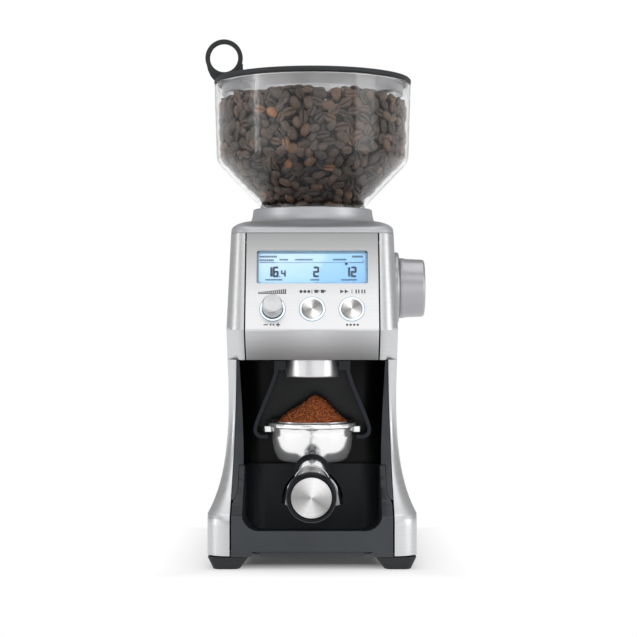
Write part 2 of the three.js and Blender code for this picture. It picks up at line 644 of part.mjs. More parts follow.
function pushButton() {
  return lathe([
    [0, -6], [3, -6], [3, -3], [BUTTON_RADIUS, -3], [BUTTON_RADIUS, 1.4], [BUTTON_RADIUS - 0.5, 1.9],
    [1, 1.5], [0, 1.5],
  ]);
}

function amountKnob() {
  const body = lathe([
    [0, 0.8], [KNOB_RADIUS, 0.8], [KNOB_RADIUS, KNOB_HEIGHT - 1], [KNOB_RADIUS - 0.8, KNOB_HEIGHT],
    [0, KNOB_HEIGHT],
  ]);
  const socket = disc(3.3, 0, KNOB_HEIGHT - 2.5, 16);
  return geometryOf(cut(solid(body), solid(socket)));
}

function amountShaft() {
  return lathe([[0, -8], [4.2, -8], [4.2, -5], [3, -5], [3, KNOB_HEIGHT - 3], [0, KNOB_HEIGHT - 3]], 16);
}

function controlBoard() {
  const board = box(-43, 43, 4, 66, -12.5, -11);
  const chip = box(-10, 10, 38, 50, -15, -12.4);
  return join(solid(board), solid(chip));
}

function lcdModule() {
  return box(-WINDOW_HALF + 1, WINDOW_HALF - 1, WINDOW_LOW_V + 0.8, WINDOW_HIGH_V - 0.8, -9, -2.6);
}

function lcdWindow() {
  const inset = GAP;
  const shape = roundedRectangle(-WINDOW_HALF + inset, WINDOW_HALF - inset,
    WINDOW_LOW_V + inset, WINDOW_HIGH_V - inset, 1);
  return prism(shape, -2.2, 0.2, 3);
}

// ---------------------------------------------------------------- dial
function dialKnob() {
  const profile = lathe([
    [0, DIAL_INNER_X], [DIAL_RADIUS, DIAL_INNER_X], [DIAL_RADIUS, DIAL_INNER_X + 3],
    [DIAL_FACE_RADIUS, DIAL_OUTER_X - 2.4], [DIAL_FACE_RADIUS - 1.6, DIAL_OUTER_X - 0.8],
    [12, DIAL_OUTER_X - 0.2], [0, DIAL_OUTER_X],
  ], 28);
  const socket = disc(4.3, 60, 82, 16);
  return layAlongX(geometryOf(cut(solid(profile), solid(socket)))).translate(0, BURR_Y, DIAL_Z);
}

function dialEscutcheon() {
  const profile = [
    [4.4, 56], [19.4, 56], [19.4, 61.8], [ESCUTCHEON_RADIUS - 0.6, 61.8], [ESCUTCHEON_RADIUS, 62.4],
    [ESCUTCHEON_RADIUS, 64.6], [ESCUTCHEON_RADIUS - 1, 65.6], [4.4, 65.6], [4.4, 56],
  ];
  return layAlongX(lathe(profile, 28)).translate(0, BURR_Y, DIAL_Z);
}

function dialShaft() {
  const teeth = prism(gearShape(PINION_TEETH, CROWN_MODULE, 0, 2), 33.6, 39.4, 12);
  const rod = disc(4, 34, 81, 20);
  return layAlongX(geometryOf(join(solid(teeth), solid(rod)))).translate(0, BURR_Y, DIAL_Z);
}

// ---------------------------------------------------------------- grinding parts on the vertical axis
function adjustRing() {
  const root = CROWN_PITCH_Z - 1.2 * CROWN_MODULE;
  const tip = CROWN_PITCH_Z + 0.9 * CROWN_MODULE;
  const plate = ring(30.2, 40, 182, root, 28);
  const pitchWidth = 2 * Math.PI * CROWN_PITCH_RADIUS / GEAR_TEETH;
  const toothShape = polygon([
    [-0.28 * pitchWidth, root - 0.2], [0.28 * pitchWidth, root - 0.2],
    [0.1 * pitchWidth, tip], [-0.1 * pitchWidth, tip],
  ]);
  const teeth = [];
  for (let index = 0; index < GEAR_TEETH; index += 1) {
    const angle = (index + 0.5) / GEAR_TEETH * 2 * Math.PI;
    const tooth = prismY(toothShape, 33.6, 39.4).rotateZ(angle - Math.PI / 2);
    teeth.push(solid(tooth));
  }
  return geometryOf(join(solid(plate), ...teeth)).translate(0, BURR_Y, 0);
}

function burrHolder() {
  return lathe([
    [24.3, 172], [28.6, 172], [29.9, 181], [29.9, 206], [27.5, 206], [20.5, 190], [20.5, 186.6],
    [24.3, 186.6], [24.3, 172],
  ]).translate(0, BURR_Y, 0);
}

// Star-shaped ring of points: alternating tip and root radii, turned by `twist`.
function star(teeth, tip, root, twist, z) {
  const points = [];
  for (let k = 0; k < teeth * 2; k += 1) {
    const radius = k % 2 === 0 ? tip : root;
    const angle = twist + k * Math.PI / teeth;
    points.push(new THREE.Vector3(radius * Math.cos(angle), radius * Math.sin(angle), z));
  }
  return points;
}

function coneBurr() {
  const levels = [[169.6, 19.4, 18, 0], [174, 18, 16, 0.08], [181, 13.6, 11, 0.25], [189, 9.4, 7.6, 0.5]];
  const body = loft(levels.map(([z, tip, root, twist]) => star(10, tip, root, twist, z)));
  return geometryOf(cut(solid(body), solid(disc(4.35, 160, 200, 16)))).translate(0, BURR_Y, 0);
}

function ringBurr() {
  const levels = [
    [165, 20.4, 20.2, 0], [170.6, 20.4, 20.2, 0], [176, 19.2, 18.2, 0.1], [184, 17, 14.6, 0.3],
    [190, 17.8, 16.2, 0.4],
  ];
  const bore = loft(levels.map(([z, tip, root, twist]) => star(12, tip, root, twist, z)));
  return geometryOf(cut(solid(ring(10, 24, 171, 186.2, 24)), solid(bore))).translate(0, BURR_Y, 0);
}

function burrShaft() {
  return lathe([
    [0, 148.4], [4, 148.4], [4, 197.5], [0, 197.5],
  ], 20).translate(0, BURR_Y, 0);
}

function burrNut() {
  const outline = new THREE.Shape();
  for (let corner = 0; corner < 6; corner += 1) {
    const angle = corner * Math.PI / 3;
    outline.lineTo(7.5 * Math.cos(angle), 7.5 * Math.sin(angle));
  }
  outline.curves.shift();
  outline.holes.push(new THREE.Path().absarc(0, 0, 4.3, 0, 2 * Math.PI, true));
  return prism(outline, 189.4, 195, 16).translate(0, BURR_Y, 0);
}

function impeller() {
  const hub = ring(4.3, 9, 165, 169.2, 20);
  const blades = [0, 1, 2, 3].map((k) => solid(box(8, 32.5, -1.4, 1.4, 165, 168.6).rotateZ(k * Math.PI / 2)));
  return geometryOf(join(solid(hub), ...blades)).translate(0, BURR_Y, 0);
}

function grindChamber() {
  const wall = lathe([
    [7.4, 162.4], [36.6, 162.4], [36.6, 180.6], [34, 180.6], [34, 164.6], [7.4, 164.6], [7.4, 162.4],
  ], 28);
  const outlet = solid(box(-9, 9, -40, -20, 164.6, 176));
  return geometryOf(cut(solid(wall), outlet)).translate(0, BURR_Y, 0);
}

// Duct from the chamber's front forwards and down to the outlet.
function outletChute() {
  const tube = solid(disc(19, 150.4, 180, 24).translate(0, OUTLET_Y, 0));
  const duct = solid(box(-11, 11, 10, 27.2, 162.4, 178));
  const drop = solid(disc(16, 140, 177, 24).translate(0, OUTLET_Y, 0));
  const passage = solid(box(-8.6, 8.6, 10, 40, 164.6, 176));
  const relief = solid(ring(0.1, 37, 140, 200, 28).translate(0, BURR_Y, 0));
  return cut(join(tube, duct), drop, passage, relief);
}

function outletRing() {
  return lathe([
    [17.4, 133.6], [19.7, 133.2], [OUTLET_RADIUS, 133.8], [OUTLET_RADIUS, 145.6], [19, 145.6], [19, 150],
    [17.4, 150], [17.4, 133.6],
  ], 32).translate(0, OUTLET_Y, 0);
}

function gearCase() {
  const outline = new THREE.Shape();
  outline.absarc(0, BURR_Y, 37.6, Math.PI, 2 * Math.PI);
  outline.lineTo(37.6, BURR_Y + 30);
  outline.absarc(0, MOTOR_Y, 20, 0, Math.PI);
  outline.lineTo(-37.6, BURR_Y + 30);
  const body = solid(prism(outline, 148, 160, 8));
  const pocket = join(
    solid(disc(35.8, 150, 170, 28).translate(0, BURR_Y, 0)),
    solid(disc(11, 150, 170, 24).translate(0, MOTOR_Y, 0)),
  );
  const shafts = join(
    solid(disc(8.4, 140, 155, 20).translate(0, BURR_Y, 0)),
    solid(disc(8.4, 140, 155, 20).translate(0, MOTOR_Y, 0)),
  );
  return { body: cut(body, pocket, shafts), outline };
}

function gearCover(outline) {
  const plate = solid(prism(outline, 160.3, 162.1, 8));
  return cut(plate, solid(disc(7.5, 150, 170, 20).translate(0, BURR_Y, 0)));
}

function driveGear() {
  const outline = gearShape(GEAR_TEETH, DRIVE_MODULE, 0, 4.4);
  return prism(outline, GEAR_Z, GEAR_Z + GEAR_FACE, 20).translate(0, BURR_Y, 0);
}

function motorPinion() {
  const teeth = prism(gearShape(PINION_TEETH, DRIVE_MODULE, 0, 1.5), GEAR_Z, GEAR_Z + GEAR_FACE, 12);
  const rod = disc(3, 143, GEAR_Z + GEAR_FACE, 16);
  return geometryOf(join(solid(teeth), solid(rod)));
}

function motorBody() {
  const profile = [[0, 64], [10, 64], [10, 68], [27, 70], [27, 140], [12, 142.5], [12, 147.7], [0, 147.7]];
  const can = solid(lathe(profile, 20));
  const socket = solid(disc(3.4, 142, 150, 16));
  return geometryOf(cut(can, socket)).translate(0, MOTOR_Y, 0);
}

function bearing(low, high, outer) {
  return ring(4.3, outer, low, high, 20).translate(0, BURR_Y, 0);
}

// ---------------------------------------------------------------- portafilter
function bowl() {
  const wall = 1.6;
  const body = lathe([
    [0, BOWL_BOTTOM_Z], [21, BOWL_BOTTOM_Z], [24.6, BOWL_BOTTOM_Z + 2], [26.6, BOWL_BOTTOM_Z + 5],
    [28.4, 81], [BOWL_RADIUS, 90], [BOWL_RADIUS + 0.8, 96.8], [RIM_RADIUS, 96.8], [RIM_RADIUS, 99.4],
    [RIM_RADIUS - 0.6, RIM_Z], [31, RIM_Z], [29.8, 98.6],
    [BOWL_RADIUS - wall, 94], [26.6 - wall, BOWL_BOTTOM_Z + 6], [20, BOWL_BOTTOM_Z + 2.4],
    [0, BOWL_BOTTOM_Z + 2.4],
  ], 28);
  const lug = solid(box(29.2, 35.6, -7, 7, 93.3, 97.3));
  const lugs = join(lug, solid(mirrorX(lug)));
  const inside = solid(disc(26.2, 72, 99, 32));
  const drain = solid(disc(4, 60, 76, 16));
  const shell = cut(join(solid(body), lugs, cut(neck(), inside)), drain);
  return geometryOf(shell).translate(0, OUTLET_Y, 0);
}

// Neck that leaves the bowl's wall as an upright oval and drops to the round back end of the handle.
function neck() {
  const start = 42.5; // where the handle begins, along its axis
  const end = [-start * Math.cos(HANDLE_SLOPE), HANDLE_ROOT_Z - start * Math.sin(HANDLE_SLOPE)];
  const sections = [
    [-24, 77, 5.8, 9.5, 0], [-31, 75.4, 6.6, 9, 0], [-37, 71.6, 8, 9, 0], [...end, 9.6, 9.6, HANDLE_SLOPE],
  ];
  const turns = Array.from({ length: 16 }, (_, side) => side * Math.PI / 8);
  return solid(tube(sections.map(([y, z, halfWidth, halfHeight, lean]) => turns.map((turn) => {
    const rise = halfHeight * Math.sin(turn);
    return new THREE.Vector3(
      halfWidth * Math.cos(turn),
      y - rise * Math.sin(lean),
      z + rise * Math.cos(lean),
    );
  }))));
}

// Closed body through rings in any plane, closed at each end by a fan.
function tube(rings) {
  const size = rings[0].length;
  const ends = [rings[0], rings.at(-1)].map((ring) => {
    return ring.reduce((sum, p) => sum.add(p), new THREE.Vector3()).divideScalar(size);
  });
  const positions = [...rings.flat(), ...ends].flatMap((p) => [p.x, p.y, p.z]);
  const index = [];
  for (let band = 0; band < rings.length - 1; band += 1) {
    for (let k = 0; k < size; k += 1) {
      const a = band * size + k;
      const b = band * size + (k + 1) % size;
      index.push(a, b, b + size, a, b + size, a + size);
    }
  }
  const last = (rings.length - 1) * size;
  const centre = rings.length * size;
  for (let k = 0; k < size; k += 1) {
    const n = (k + 1) % size;
    index.push(centre, n, k, centre + 1, last + k, last + n);
  }
  const geometry = new THREE.BufferGeometry();
  geometry.setAttribute('position', new THREE.Float32BufferAttribute(positions, 3));
  geometry.setIndex(index);
  return geometry;
}

// Lays a geometry turned about Z along the handle, which points to the front and slopes down a little.
function alongHandle(geometry) {
  return geometry.rotateX(Math.PI / 2 + HANDLE_SLOPE).translate(0, 0, HANDLE_ROOT_Z);
}

const handleLength = () => HANDLE_END / Math.cos(HANDLE_SLOPE);

function handlePiece(profile, segments) {
  return alongHandle(lathe(profile, segments)).translate(0, OUTLET_Y, 0);
}

function ferrule() {
  return handlePiece([
    [0, 42.8], [12.3, 42.8], [12.9, 43.4], [12.9, 46.2], [10.7, 46.8], [12.6, SLEEVE_END - 0.6],
    [12, SLEEVE_END], [0, SLEEVE_END],
  ], 24);
}

function grip() {
  const end = handleLength();
  return handlePiece([
    [0, SLEEVE_END + GAP], [11.6, SLEEVE_END + GAP], [12.2, SLEEVE_END + 1.2], [13.2, 122], [14.6, 138],
    [15.8, 152], [GRIP_END_RADIUS, end - 3],
    [15.4, end - 0.8], [CAP_RADIUS + 0.9, end], [CAP_RADIUS + GAP, end - 0.3],
    [CAP_RADIUS + GAP, end - 2.4], [0, end - 2.4],
  ], 20);
}

function handleCap() {
  const end = handleLength();
  const profile = [
    [0, end - 2.1], [CAP_RADIUS, end - 2.1], [CAP_RADIUS, end - 0.5], [CAP_RADIUS - 0.5, end], [0, end],
  ];
  return handlePiece(profile, 20);
}

function filterBasket() {
  return lathe([
    [0, 75.2], [21, 75.2], [24.2, 77.6], [26, 94], [28.8, 98.4], [30.6, 100.3], [30.6, 101.2], [28.6, 101],
    [25.2, 94.4], [23.4, 78.4], [20.6, 76.2], [0, 76.2],
  ], 24).translate(0, OUTLET_Y, 0);
}

// Boss under the bowl that splits into two side spouts.
function twinSpout() {
  const top = BOWL_BOTTOM_Z - GAP;
  const boss = solid(disc(8.5, 56, top, 24));
  const collar = solid(disc(10.5, 66, top, 24));
  const arms = [1, -1].map((side) => {
    const route = new THREE.CatmullRomCurve3([
      new THREE.Vector3(0, 0, 61), new THREE.Vector3(side * 9, 0, 58), new THREE.Vector3(side * 16, 0, 50),
      new THREE.Vector3(side * 18.5, 0, 39.6),
    ]);
    const section = new THREE.Shape();
    section.absellipse(0, 0, 5.2, 5.2, 0, 2 * Math.PI);
    const options = { steps: 6, bevelEnabled: false, extrudePath: route, curveSegments: 8 };
    return solid(new THREE.ExtrudeGeometry(section, options));
  });
  const throat = solid(disc(3.6, 60, 80, 16));
  const groove = solid(box(-22, 22, -2.6, 2.6, 30, 46));
  return geometryOf(cut(join(boss, collar, ...arms), throat, groove)).translate(0, OUTLET_Y, 0);
}

// ---------------------------------------------------------------- electrics and small parts
function powerBoard() {
  const board = solid(box(-50, 30, 72, 140, 20, 21.6));
  const transformer = solid(box(-44, -20, 84, 110, 21.4, 44));
  const capacitor = solid(disc(8, 21.4, 40, 20).translate(12, 126, 0));
  return join(board, transformer, capacitor);
}

function cableGland() {
  const profile = [[0, -161], [5, -161], [8, -158.6], [8, -158.3], [6, -158.3], [6, -148], [0, -148]];
  return layAlongFront(lathe(profile, 24)).translate(GLAND_X, 0, GLAND_Z);
}

function rearScrew(x) {
  const face = -bodyBackY(SCREW_Z) - GAP;
  const screw = lathe([
    [0, face - 1.4], [2.4, face - 1.4], [3.6, face - 0.8], [3.6, face], [1.5, face], [1.5, face + 9],
    [0, face + 9],
  ], 12);
  return layAlongFront(screw).translate(x, 0, SCREW_Z);
}

// ---------------------------------------------------------------- assembly
const grinder = new THREE.Group();

function place(name, shape, material, parent = grinder) {
  const geometry = shape instanceof THREE.BufferGeometry ? geometryOf(solid(shape)) : geometryOf(shape);
  const mesh = new THREE.Mesh(geometry, material);
  mesh.name = name;
  parent.add(mesh);
  return mesh;
}

const rightPanel = sidePanel(true);
place('side_panel_right', rightPanel, brushedSteel());
place('side_panel_left', mirrorX(sidePanel(false)), brushedSteel());
place('rear_cover', rearCover(), charcoalPlastic());
place('front_fascia', fascia(), brushedSteel());
place('top_cover', topCover(), silverPlastic());
place('base_pan', basePan(), blackPlastic());
for (const [end, endName] of [[1, 'front'], [-1, 'rear']]) {
  for (const [side, sideName] of [[-1, 'left'], [1, 'right']]) {
    place(`foot_${endName}_${sideName}`, foot(side, end), rubber());
  }
}

place('bay_liner', bayLiner(), blackPlastic());
place('bay_frame', bayFrame(), charcoalPlastic());
place('cradle', cradle(), blackPlastic());
place('portafilter_switch', portafilterSwitch(), blackPlastic());
place('grinds_tray', trayBody(), charcoalPlastic());

place('hopper', hopperShell(), clearPlastic());
place('hopper_gate', hopperGate(), blackPlastic());
place('hopper_lock_knob', hopperLockKnob(), silverPlastic());
place('lid_disc', lidDisc(), clearPlastic());
place('lid_seal', lidSeal(), rubber());

const panel = new THREE.Group();
panel.position.set(0, CREASE_Y, CREASE_Z);
panel.rotation.x = PANEL_ANGLE;
grinder.add(panel);
place('control_board', controlBoard(), circuitGreen(), panel);
place('lcd_module', lcdModule(), displayBlue(), panel);
place('lcd_window', lcdWindow(), clearPlastic(), panel);
const haloNames = ['amount_halo', 'shots_halo', 'start_halo'];
controlPlaces().forEach(({ x, y }, index) => {
  place(haloNames[index], haloRing().translate(x, y, 0), haloWhite(), panel);
});
const [amountPlace, shotsPlace, startPlace] = controlPlaces();
place('amount_knob', amountKnob().translate(amountPlace.x, amountPlace.y, 0), chrome(), panel);
place('amount_shaft', amountShaft().translate(amountPlace.x, amountPlace.y, 0), machinedSteel(), panel);
place('shots_button', pushButton().translate(shotsPlace.x, shotsPlace.y, 0), brushedSteel(), panel);
place('start_button', pushButton().translate(startPlace.x, startPlace.y, 0), brushedSteel(), panel);

place('dial_knob', dialKnob(), silverPlastic());
place('dial_escutcheon', dialEscutcheon(), chrome());
place('dial_shaft', dialShaft(), nylon());

place('adjust_ring', adjustRing(), nylon());
place('burr_holder', burrHolder(), blackPlastic());
place('ring_burr', ringBurr(), machinedSteel());
place('cone_burr', coneBurr(), machinedSteel());
place('burr_nut', burrNut(), machinedSteel());
place('burr_shaft', burrShaft(), machinedSteel());
place('impeller', impeller(), nylon());
place('grind_chamber', grindChamber(), blackPlastic());
place('outlet_chute', outletChute(), blackPlastic());
place('outlet_ring', outletRing(), chrome());

const gearbox = gearCase();
place('gear_case', gearbox.body, charcoalPlastic());
place('gear_cover', gearCover(gearbox.outline), charcoalPlastic());
place('drive_gear', driveGear(), nylon());
const pinion = place('motor_pinion', motorPinion(), machinedSteel());
pinion.position.set(0, MOTOR_Y, 0);
pinion.rotation.z = -Math.PI / 2 + Math.PI / PINION_TEETH;
place('motor', motorBody(), machinedSteel());
place('bearing_lower', bearing(148.2, 150.7, 8), machinedSteel());
place('bearing_upper', bearing(158.9, 164.2, 7.1), machinedSteel());

place('portafilter_body', bowl(), chrome());
place('filter_basket', filterBasket(), brushedSteel());
place('twin_spout', twinSpout(), chrome());
place('handle_ferrule', ferrule(), chrome());
place('handle_grip', grip(), blackPlastic());
place('handle_cap', handleCap(), brushedSteel());

place('power_board', powerBoard(), circuitGreen());
place('cable_gland', cableGland(), rubber());
place('rear_screw_left', rearScrew(-SCREW_X), machinedSteel());
place('rear_screw_right', rearScrew(SCREW_X), machinedSteel());

export default grinder;
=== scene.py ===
import math
import random

import bmesh
import bpy
from mathutils import Matrix, Vector, noise


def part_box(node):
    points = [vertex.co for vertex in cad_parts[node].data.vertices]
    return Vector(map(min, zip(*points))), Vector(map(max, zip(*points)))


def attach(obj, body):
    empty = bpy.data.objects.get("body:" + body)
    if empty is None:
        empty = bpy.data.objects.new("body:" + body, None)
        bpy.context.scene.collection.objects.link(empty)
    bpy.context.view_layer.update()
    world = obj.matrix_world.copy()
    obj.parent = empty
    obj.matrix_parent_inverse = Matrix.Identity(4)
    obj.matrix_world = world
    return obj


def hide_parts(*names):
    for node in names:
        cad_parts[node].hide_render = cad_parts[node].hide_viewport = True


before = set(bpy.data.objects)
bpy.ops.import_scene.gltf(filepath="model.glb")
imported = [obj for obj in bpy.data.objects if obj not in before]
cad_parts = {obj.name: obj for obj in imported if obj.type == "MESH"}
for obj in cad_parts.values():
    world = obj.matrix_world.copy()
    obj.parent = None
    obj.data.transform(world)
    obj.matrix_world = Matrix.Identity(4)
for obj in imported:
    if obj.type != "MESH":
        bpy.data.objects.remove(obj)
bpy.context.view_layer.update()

# ------------------------------------------------------------------ camera
camera_data = bpy.data.cameras.new("camera")
camera_data.sensor_width = 36
camera_data.lens = 93.25
camera = bpy.data.objects.new("camera", camera_data)
camera.location = (0.0045, -1.2015, 0.1758)
camera.rotation_euler = (math.pi / 2, 0, 0)
bpy.context.scene.collection.objects.link(camera)
bpy.context.scene.camera = camera
bpy.context.scene.view_settings.view_transform = "Standard"

# ------------------------------------------------------------------ dimensions, in millimetres
MM = 0.001
GAP = 0.3


def middle(node):
    low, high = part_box(node)
    return (low + high) / 2 / MM


def low_of(node):
    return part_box(node)[0] / MM


def high_of(node):
    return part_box(node)[1] / MM


BURR_Y = round(middle("burr_shaft").y, 2)
OUTLET_Y = round(middle("outlet_ring").y, 2)
SKIN = 1.2
BASE_BOTTOM_Z = round(low_of("side_panel_right").z, 2)
HEAD_TOP_Z = round(high_of("side_panel_right").z, 2)
FLARE_Z = 38
BAY_TOP_Z = 146
CREASE_Z = 167.7
BASE_HALF = 74
WAIST_HALF = 62
FLARE_LENGTH = 22
HEAD_TAPER = 0.027
BASE_FRONT_Y = -48
BASE_BACK_Y = 158
COLUMN_BACK_Y = 150
BAY_LOW_Y = -45
BAY_HIGH_Y = -15
BAY_BOW = 100
CREASE_Y = -33
HEAD_FRONT_Y = -6.5
REAR_CORNER = 15
REAR_PANEL_HALF = 42
CORNER_EDGE_X = 57.8
BAY_EDGE_X = 54.6
LINER_LOW_Z = 53.8
PILLAR_EDGE_X = 48.5
FASCIA_HALF = 47.5
CONTROL_SPACING = 28.2
CONTROL_V = 15.9
HALO_RADIUS = 9
BUTTON_RADIUS = 7.2
KNOB_RADIUS = 7
KNOB_HEIGHT = 12
WINDOW_HALF = 39.8
WINDOW_LOW = 35.6
WINDOW_HIGH = 61
DIAL_Z = round(middle("dial_shaft").z, 2)
TRAY_HALF = 56.7
TRAY_UPPER_HALF = 53
TRAY_INNER_HALF = 49.3
TRAY_STEP_Z = 45
TRAY_RIM_Z = 65
TRAY_FRONT_RIM_Z = 69
TRAY_BACK_Y = 60
RING_X = -67.9
RING_Z = 375.4
HANDLE_SLOPE = math.radians(2.6)
HANDLE_ROOT_Z = 69.7
SLEEVE_END = 104
CONE_LOW_RADIUS = 37.6
CONE_HIGH_RADIUS = 71.6
CONE_LOW_Z = 262
CONE_HIGH_Z = 297
HEAP_TOP_Z = 344
HEAP_RIM_Z = 340.5
UNDER_LID_RADIUS = 59
UNDER_LID_Z = 340.8
BEAN_HALVES = (4.9, 3.6, 2.6)
BEAN_TILT = 0.22
FACE_DOWN_SHARE = 0.42
WALL_SHARE = 0.42
CONE_SHARE = 0.78
BEAN_LAYERS = ((2.7, 6.0, 34000), (6.4, 6.3, 12000))  # depth behind the glass, least spacing, tries
GROUNDS_RADIUS = 26.6
GROUNDS_RIM_Z = 100.2
GROUNDS_HEIGHT = 20
GROUNDS_SIDES = 120
INK_LOW = -2.56
INK_HIGH = -2.34
STAMP_LOW = -0.05
STAMP_HIGH = 0.07
HANDLE_END = 165 / math.cos(HANDLE_SLOPE)

PANEL_ANGLE = math.atan2(HEAD_TOP_Z - CREASE_Z, HEAD_FRONT_Y - CREASE_Y)


def at(x, y, z):
    return Matrix.Translation((x * MM, y * MM, z * MM))


PANEL = at(0, CREASE_Y, CREASE_Z) @ Matrix.Rotation(PANEL_ANGLE, 4, "X")
DIAL = at(0, BURR_Y, DIAL_Z) @ Matrix.Rotation(math.pi / 2, 4, "Y")
HANDLE = at(0, OUTLET_Y, HANDLE_ROOT_Z) @ Matrix.Rotation(math.pi / 2 + HANDLE_SLOPE, 4, "X")
HOPPER = at(0, BURR_Y, 0)
OUTLET = at(0, OUTLET_Y, 0)
FORWARD = Matrix.Rotation(math.pi / 2, 4, "X")


# ------------------------------------------------------------------ outlines
def between(low, high, share):
    return low + (high - low) * share


def steps(low, high, count):
    return [between(low, high, index / count) for index in range(count + 1)]


def flare(z):
    return math.exp((FLARE_Z - z) / FLARE_LENGTH)


def half_width(z):
    if z <= FLARE_Z:
        return BASE_HALF
    return WAIST_HALF + (BASE_HALF - WAIST_HALF) * flare(z) - HEAD_TAPER * max(0, z - BAY_TOP_Z)


def back_y(z):
    if z <= FLARE_Z:
        return BASE_BACK_Y
    return COLUMN_BACK_Y + (BASE_BACK_Y - COLUMN_BACK_Y) * flare(z) - HEAD_TAPER * max(0, z - BAY_TOP_Z)


def front_y(z):
    if z <= FLARE_Z - 4:
        return BASE_FRONT_Y
    if z <= FLARE_Z:
        return between(BASE_FRONT_Y, BAY_LOW_Y, (z - FLARE_Z + 4) / 4)
    if z <= BAY_TOP_Z:
        t = (z - FLARE_Z) / (BAY_TOP_Z - FLARE_Z)
        return BAY_LOW_Y * (1 - t) ** 2 + BAY_BOW * t * (1 - t) + BAY_HIGH_Y * t**2
    if z <= CREASE_Z:
        return between(BAY_HIGH_Y, CREASE_Y, (z - BAY_TOP_Z) / (CREASE_Z - BAY_TOP_Z))
    return between(CREASE_Y, HEAD_FRONT_Y, (z - CREASE_Z) / (HEAD_TOP_Z - CREASE_Z))


def corner_depth(z):
    if z <= FLARE_Z:
        return 13
    if z <= BAY_TOP_Z:
        return between(13, 22, (z - FLARE_Z) / (BAY_TOP_Z - FLARE_Z))
    return between(22, 13, min(1, (z - BAY_TOP_Z) / (CREASE_Z - BAY_TOP_Z)))


def bay_edge(z):
    """Inner edge of the steel beside the bay."""
    rise = max(0, z - TRAY_STEP_Z) / (BAY_TOP_Z - TRAY_STEP_Z)
    return between(CORNER_EDGE_X, BAY_EDGE_X, rise**2)


def arc(x, y, radius, start, stop, count=10):
    turns = steps(math.radians(start), math.radians(stop), count)
    return [(x + radius * math.cos(turn), y + radius * math.sin(turn)) for turn in turns]


def rounded_box(x_low, x_high, y_low, y_high, radius, count=8):
    corners = [
        (x_high - radius, y_low + radius, -90),
        (x_high - radius, y_high - radius, 0),
        (x_low + radius, y_high - radius, 90),
        (x_low + radius, y_low + radius, 180),
    ]
    return [p for x, y, turn in corners for p in arc(x, y, radius, turn, turn + 90, count)]


def smooth_line(points, count=5):
    """Curve that passes through every point."""
    line = [Vector((*p, 0)) if len(p) == 2 else Vector(p) for p in points]
    padded = [2 * line[0] - line[1], *line, 2 * line[-1] - line[-2]]
    made = []
    for a, b, c, d in zip(padded, padded[1:], padded[2:], padded[3:]):
        for t in steps(0, 1, count)[:-1]:
            made.append(
                0.5 * (
                    2 * b + (c - a) * t + (2 * a - 5 * b + 4 * c - d) * t**2 + (3 * b - a - 3 * c + d) * t**3
                )
            )
    made.append(line[-1])
    size = len(points[0])
    return [tuple(p[:size]) for p in made]


# ------------------------------------------------------------------ shapes
def both_sides(right):
    """Outline closed by its own mirror image."""
    return right + [(-x, z) for x, z in right[::-1]]


def band(shape, low, high):
    """Faces between two rings of vertices."""
    for k in range(len(low)):
        n = (k + 1) % len(low)
        shape.faces.new((low[k], low[n], high[n], high[k]))


def loft(rings, closed_track=False):
    shape = bmesh.new()
    rows = [[shape.verts.new(p) for p in ring] for ring in rings]
    pairs = list(zip(rows, rows[1:]))
    if closed_track:
        pairs.append((rows[-1], rows[0]))
    for low, high in pairs:
        band(shape, low, high)
    if not closed_track:
        shape.faces.new(rows[0][::-1])
        shape.faces.new(rows[-1])
    return shape


PLANES = {
    "x": lambda a, b, h: (h, a, b),
    "y": lambda a, b, h: (a, h, b),
    "z": lambda a, b, h: (a, b, h),
}


def prism(outline, low, high, plane="z"):
    clean = [p for p, q in zip(outline, outline[-1:] + outline[:-1]) if math.dist(p, q) > 1e-4]
    return loft([[PLANES[plane](a, b, h) for a, b in clean] for h in (low, high)])


def lathe(profile, segments=96):
    """Turns (radius, height) points about Z; a ring's profile ends where it starts."""
    shape = bmesh.new()
    rows = []
    for radius, height in profile:
        if radius < 1e-6:
            rows.append([shape.verts.new((0, 0, height))])
            continue
        turns = [2 * math.pi * k / segments for k in range(segments)]
        rows.append([shape.verts.new((radius * math.cos(t), radius * math.sin(t), height)) for t in turns])
    for low, high in zip(rows, rows[1:]):
        for k in range(segments):
            n = k + 1
            corners = [low[k % len(low)], low[n % len(low)], high[n % len(high)], high[k % len(high)]]
            face = list(dict.fromkeys(corners))
            if len(face) > 2:
                shape.faces.new(face)
    return tidy(shape)


def disc(radius, low, high, segments=64):
    return lathe([(0, low), (radius, low), (radius, high), (0, high)], segments)


def tube(path, radius, segments=32):
    """Round tube along a path; radius may be a list with one value for each point."""
    points = [Vector(p) for p in path]
    radii = radius if isinstance(radius, list) else [radius] * len(points)
    rings = []
    side = Vector((0, 1, 0))
    for k, point in enumerate(points):
        along = (points[min(k + 1, len(points) - 1)] - points[max(k - 1, 0)]).normalized()
        first = (side - side.dot(along) * along).normalized()
        second = along.cross(first)
        turns = [2 * math.pi * s / segments for s in range(segments)]
        rings.append([tuple(point + radii[k] * (first * math.cos(t) + second * math.sin(t))) for t in turns])
    return loft(rings)


def tidy(shape):
    bmesh.ops.remove_doubles(shape, verts=shape.verts, dist=1e-4)
    bmesh.ops.recalc_face_normals(shape, faces=shape.faces)
    return shape


def merged(*shapes):
    """Several shapes as one, without joining their surfaces."""
    whole = bmesh.new()
    for shape in shapes:
        mesh = bpy.data.meshes.new("work")
        tidy(shape).to_mesh(mesh)
        shape.free()
        whole.from_mesh(mesh)
        bpy.data.meshes.remove(mesh)
    return whole


def moved(shape, matrix):
    offset = matrix.copy()
    offset.translation = offset.translation / MM
    bmesh.ops.transform(shape, matrix=offset, verts=shape.verts)
    return shape


def mirrored(shape):
    bmesh.ops.scale(shape, vec=(-1, 1, 1), verts=shape.verts)
    return tidy(shape)


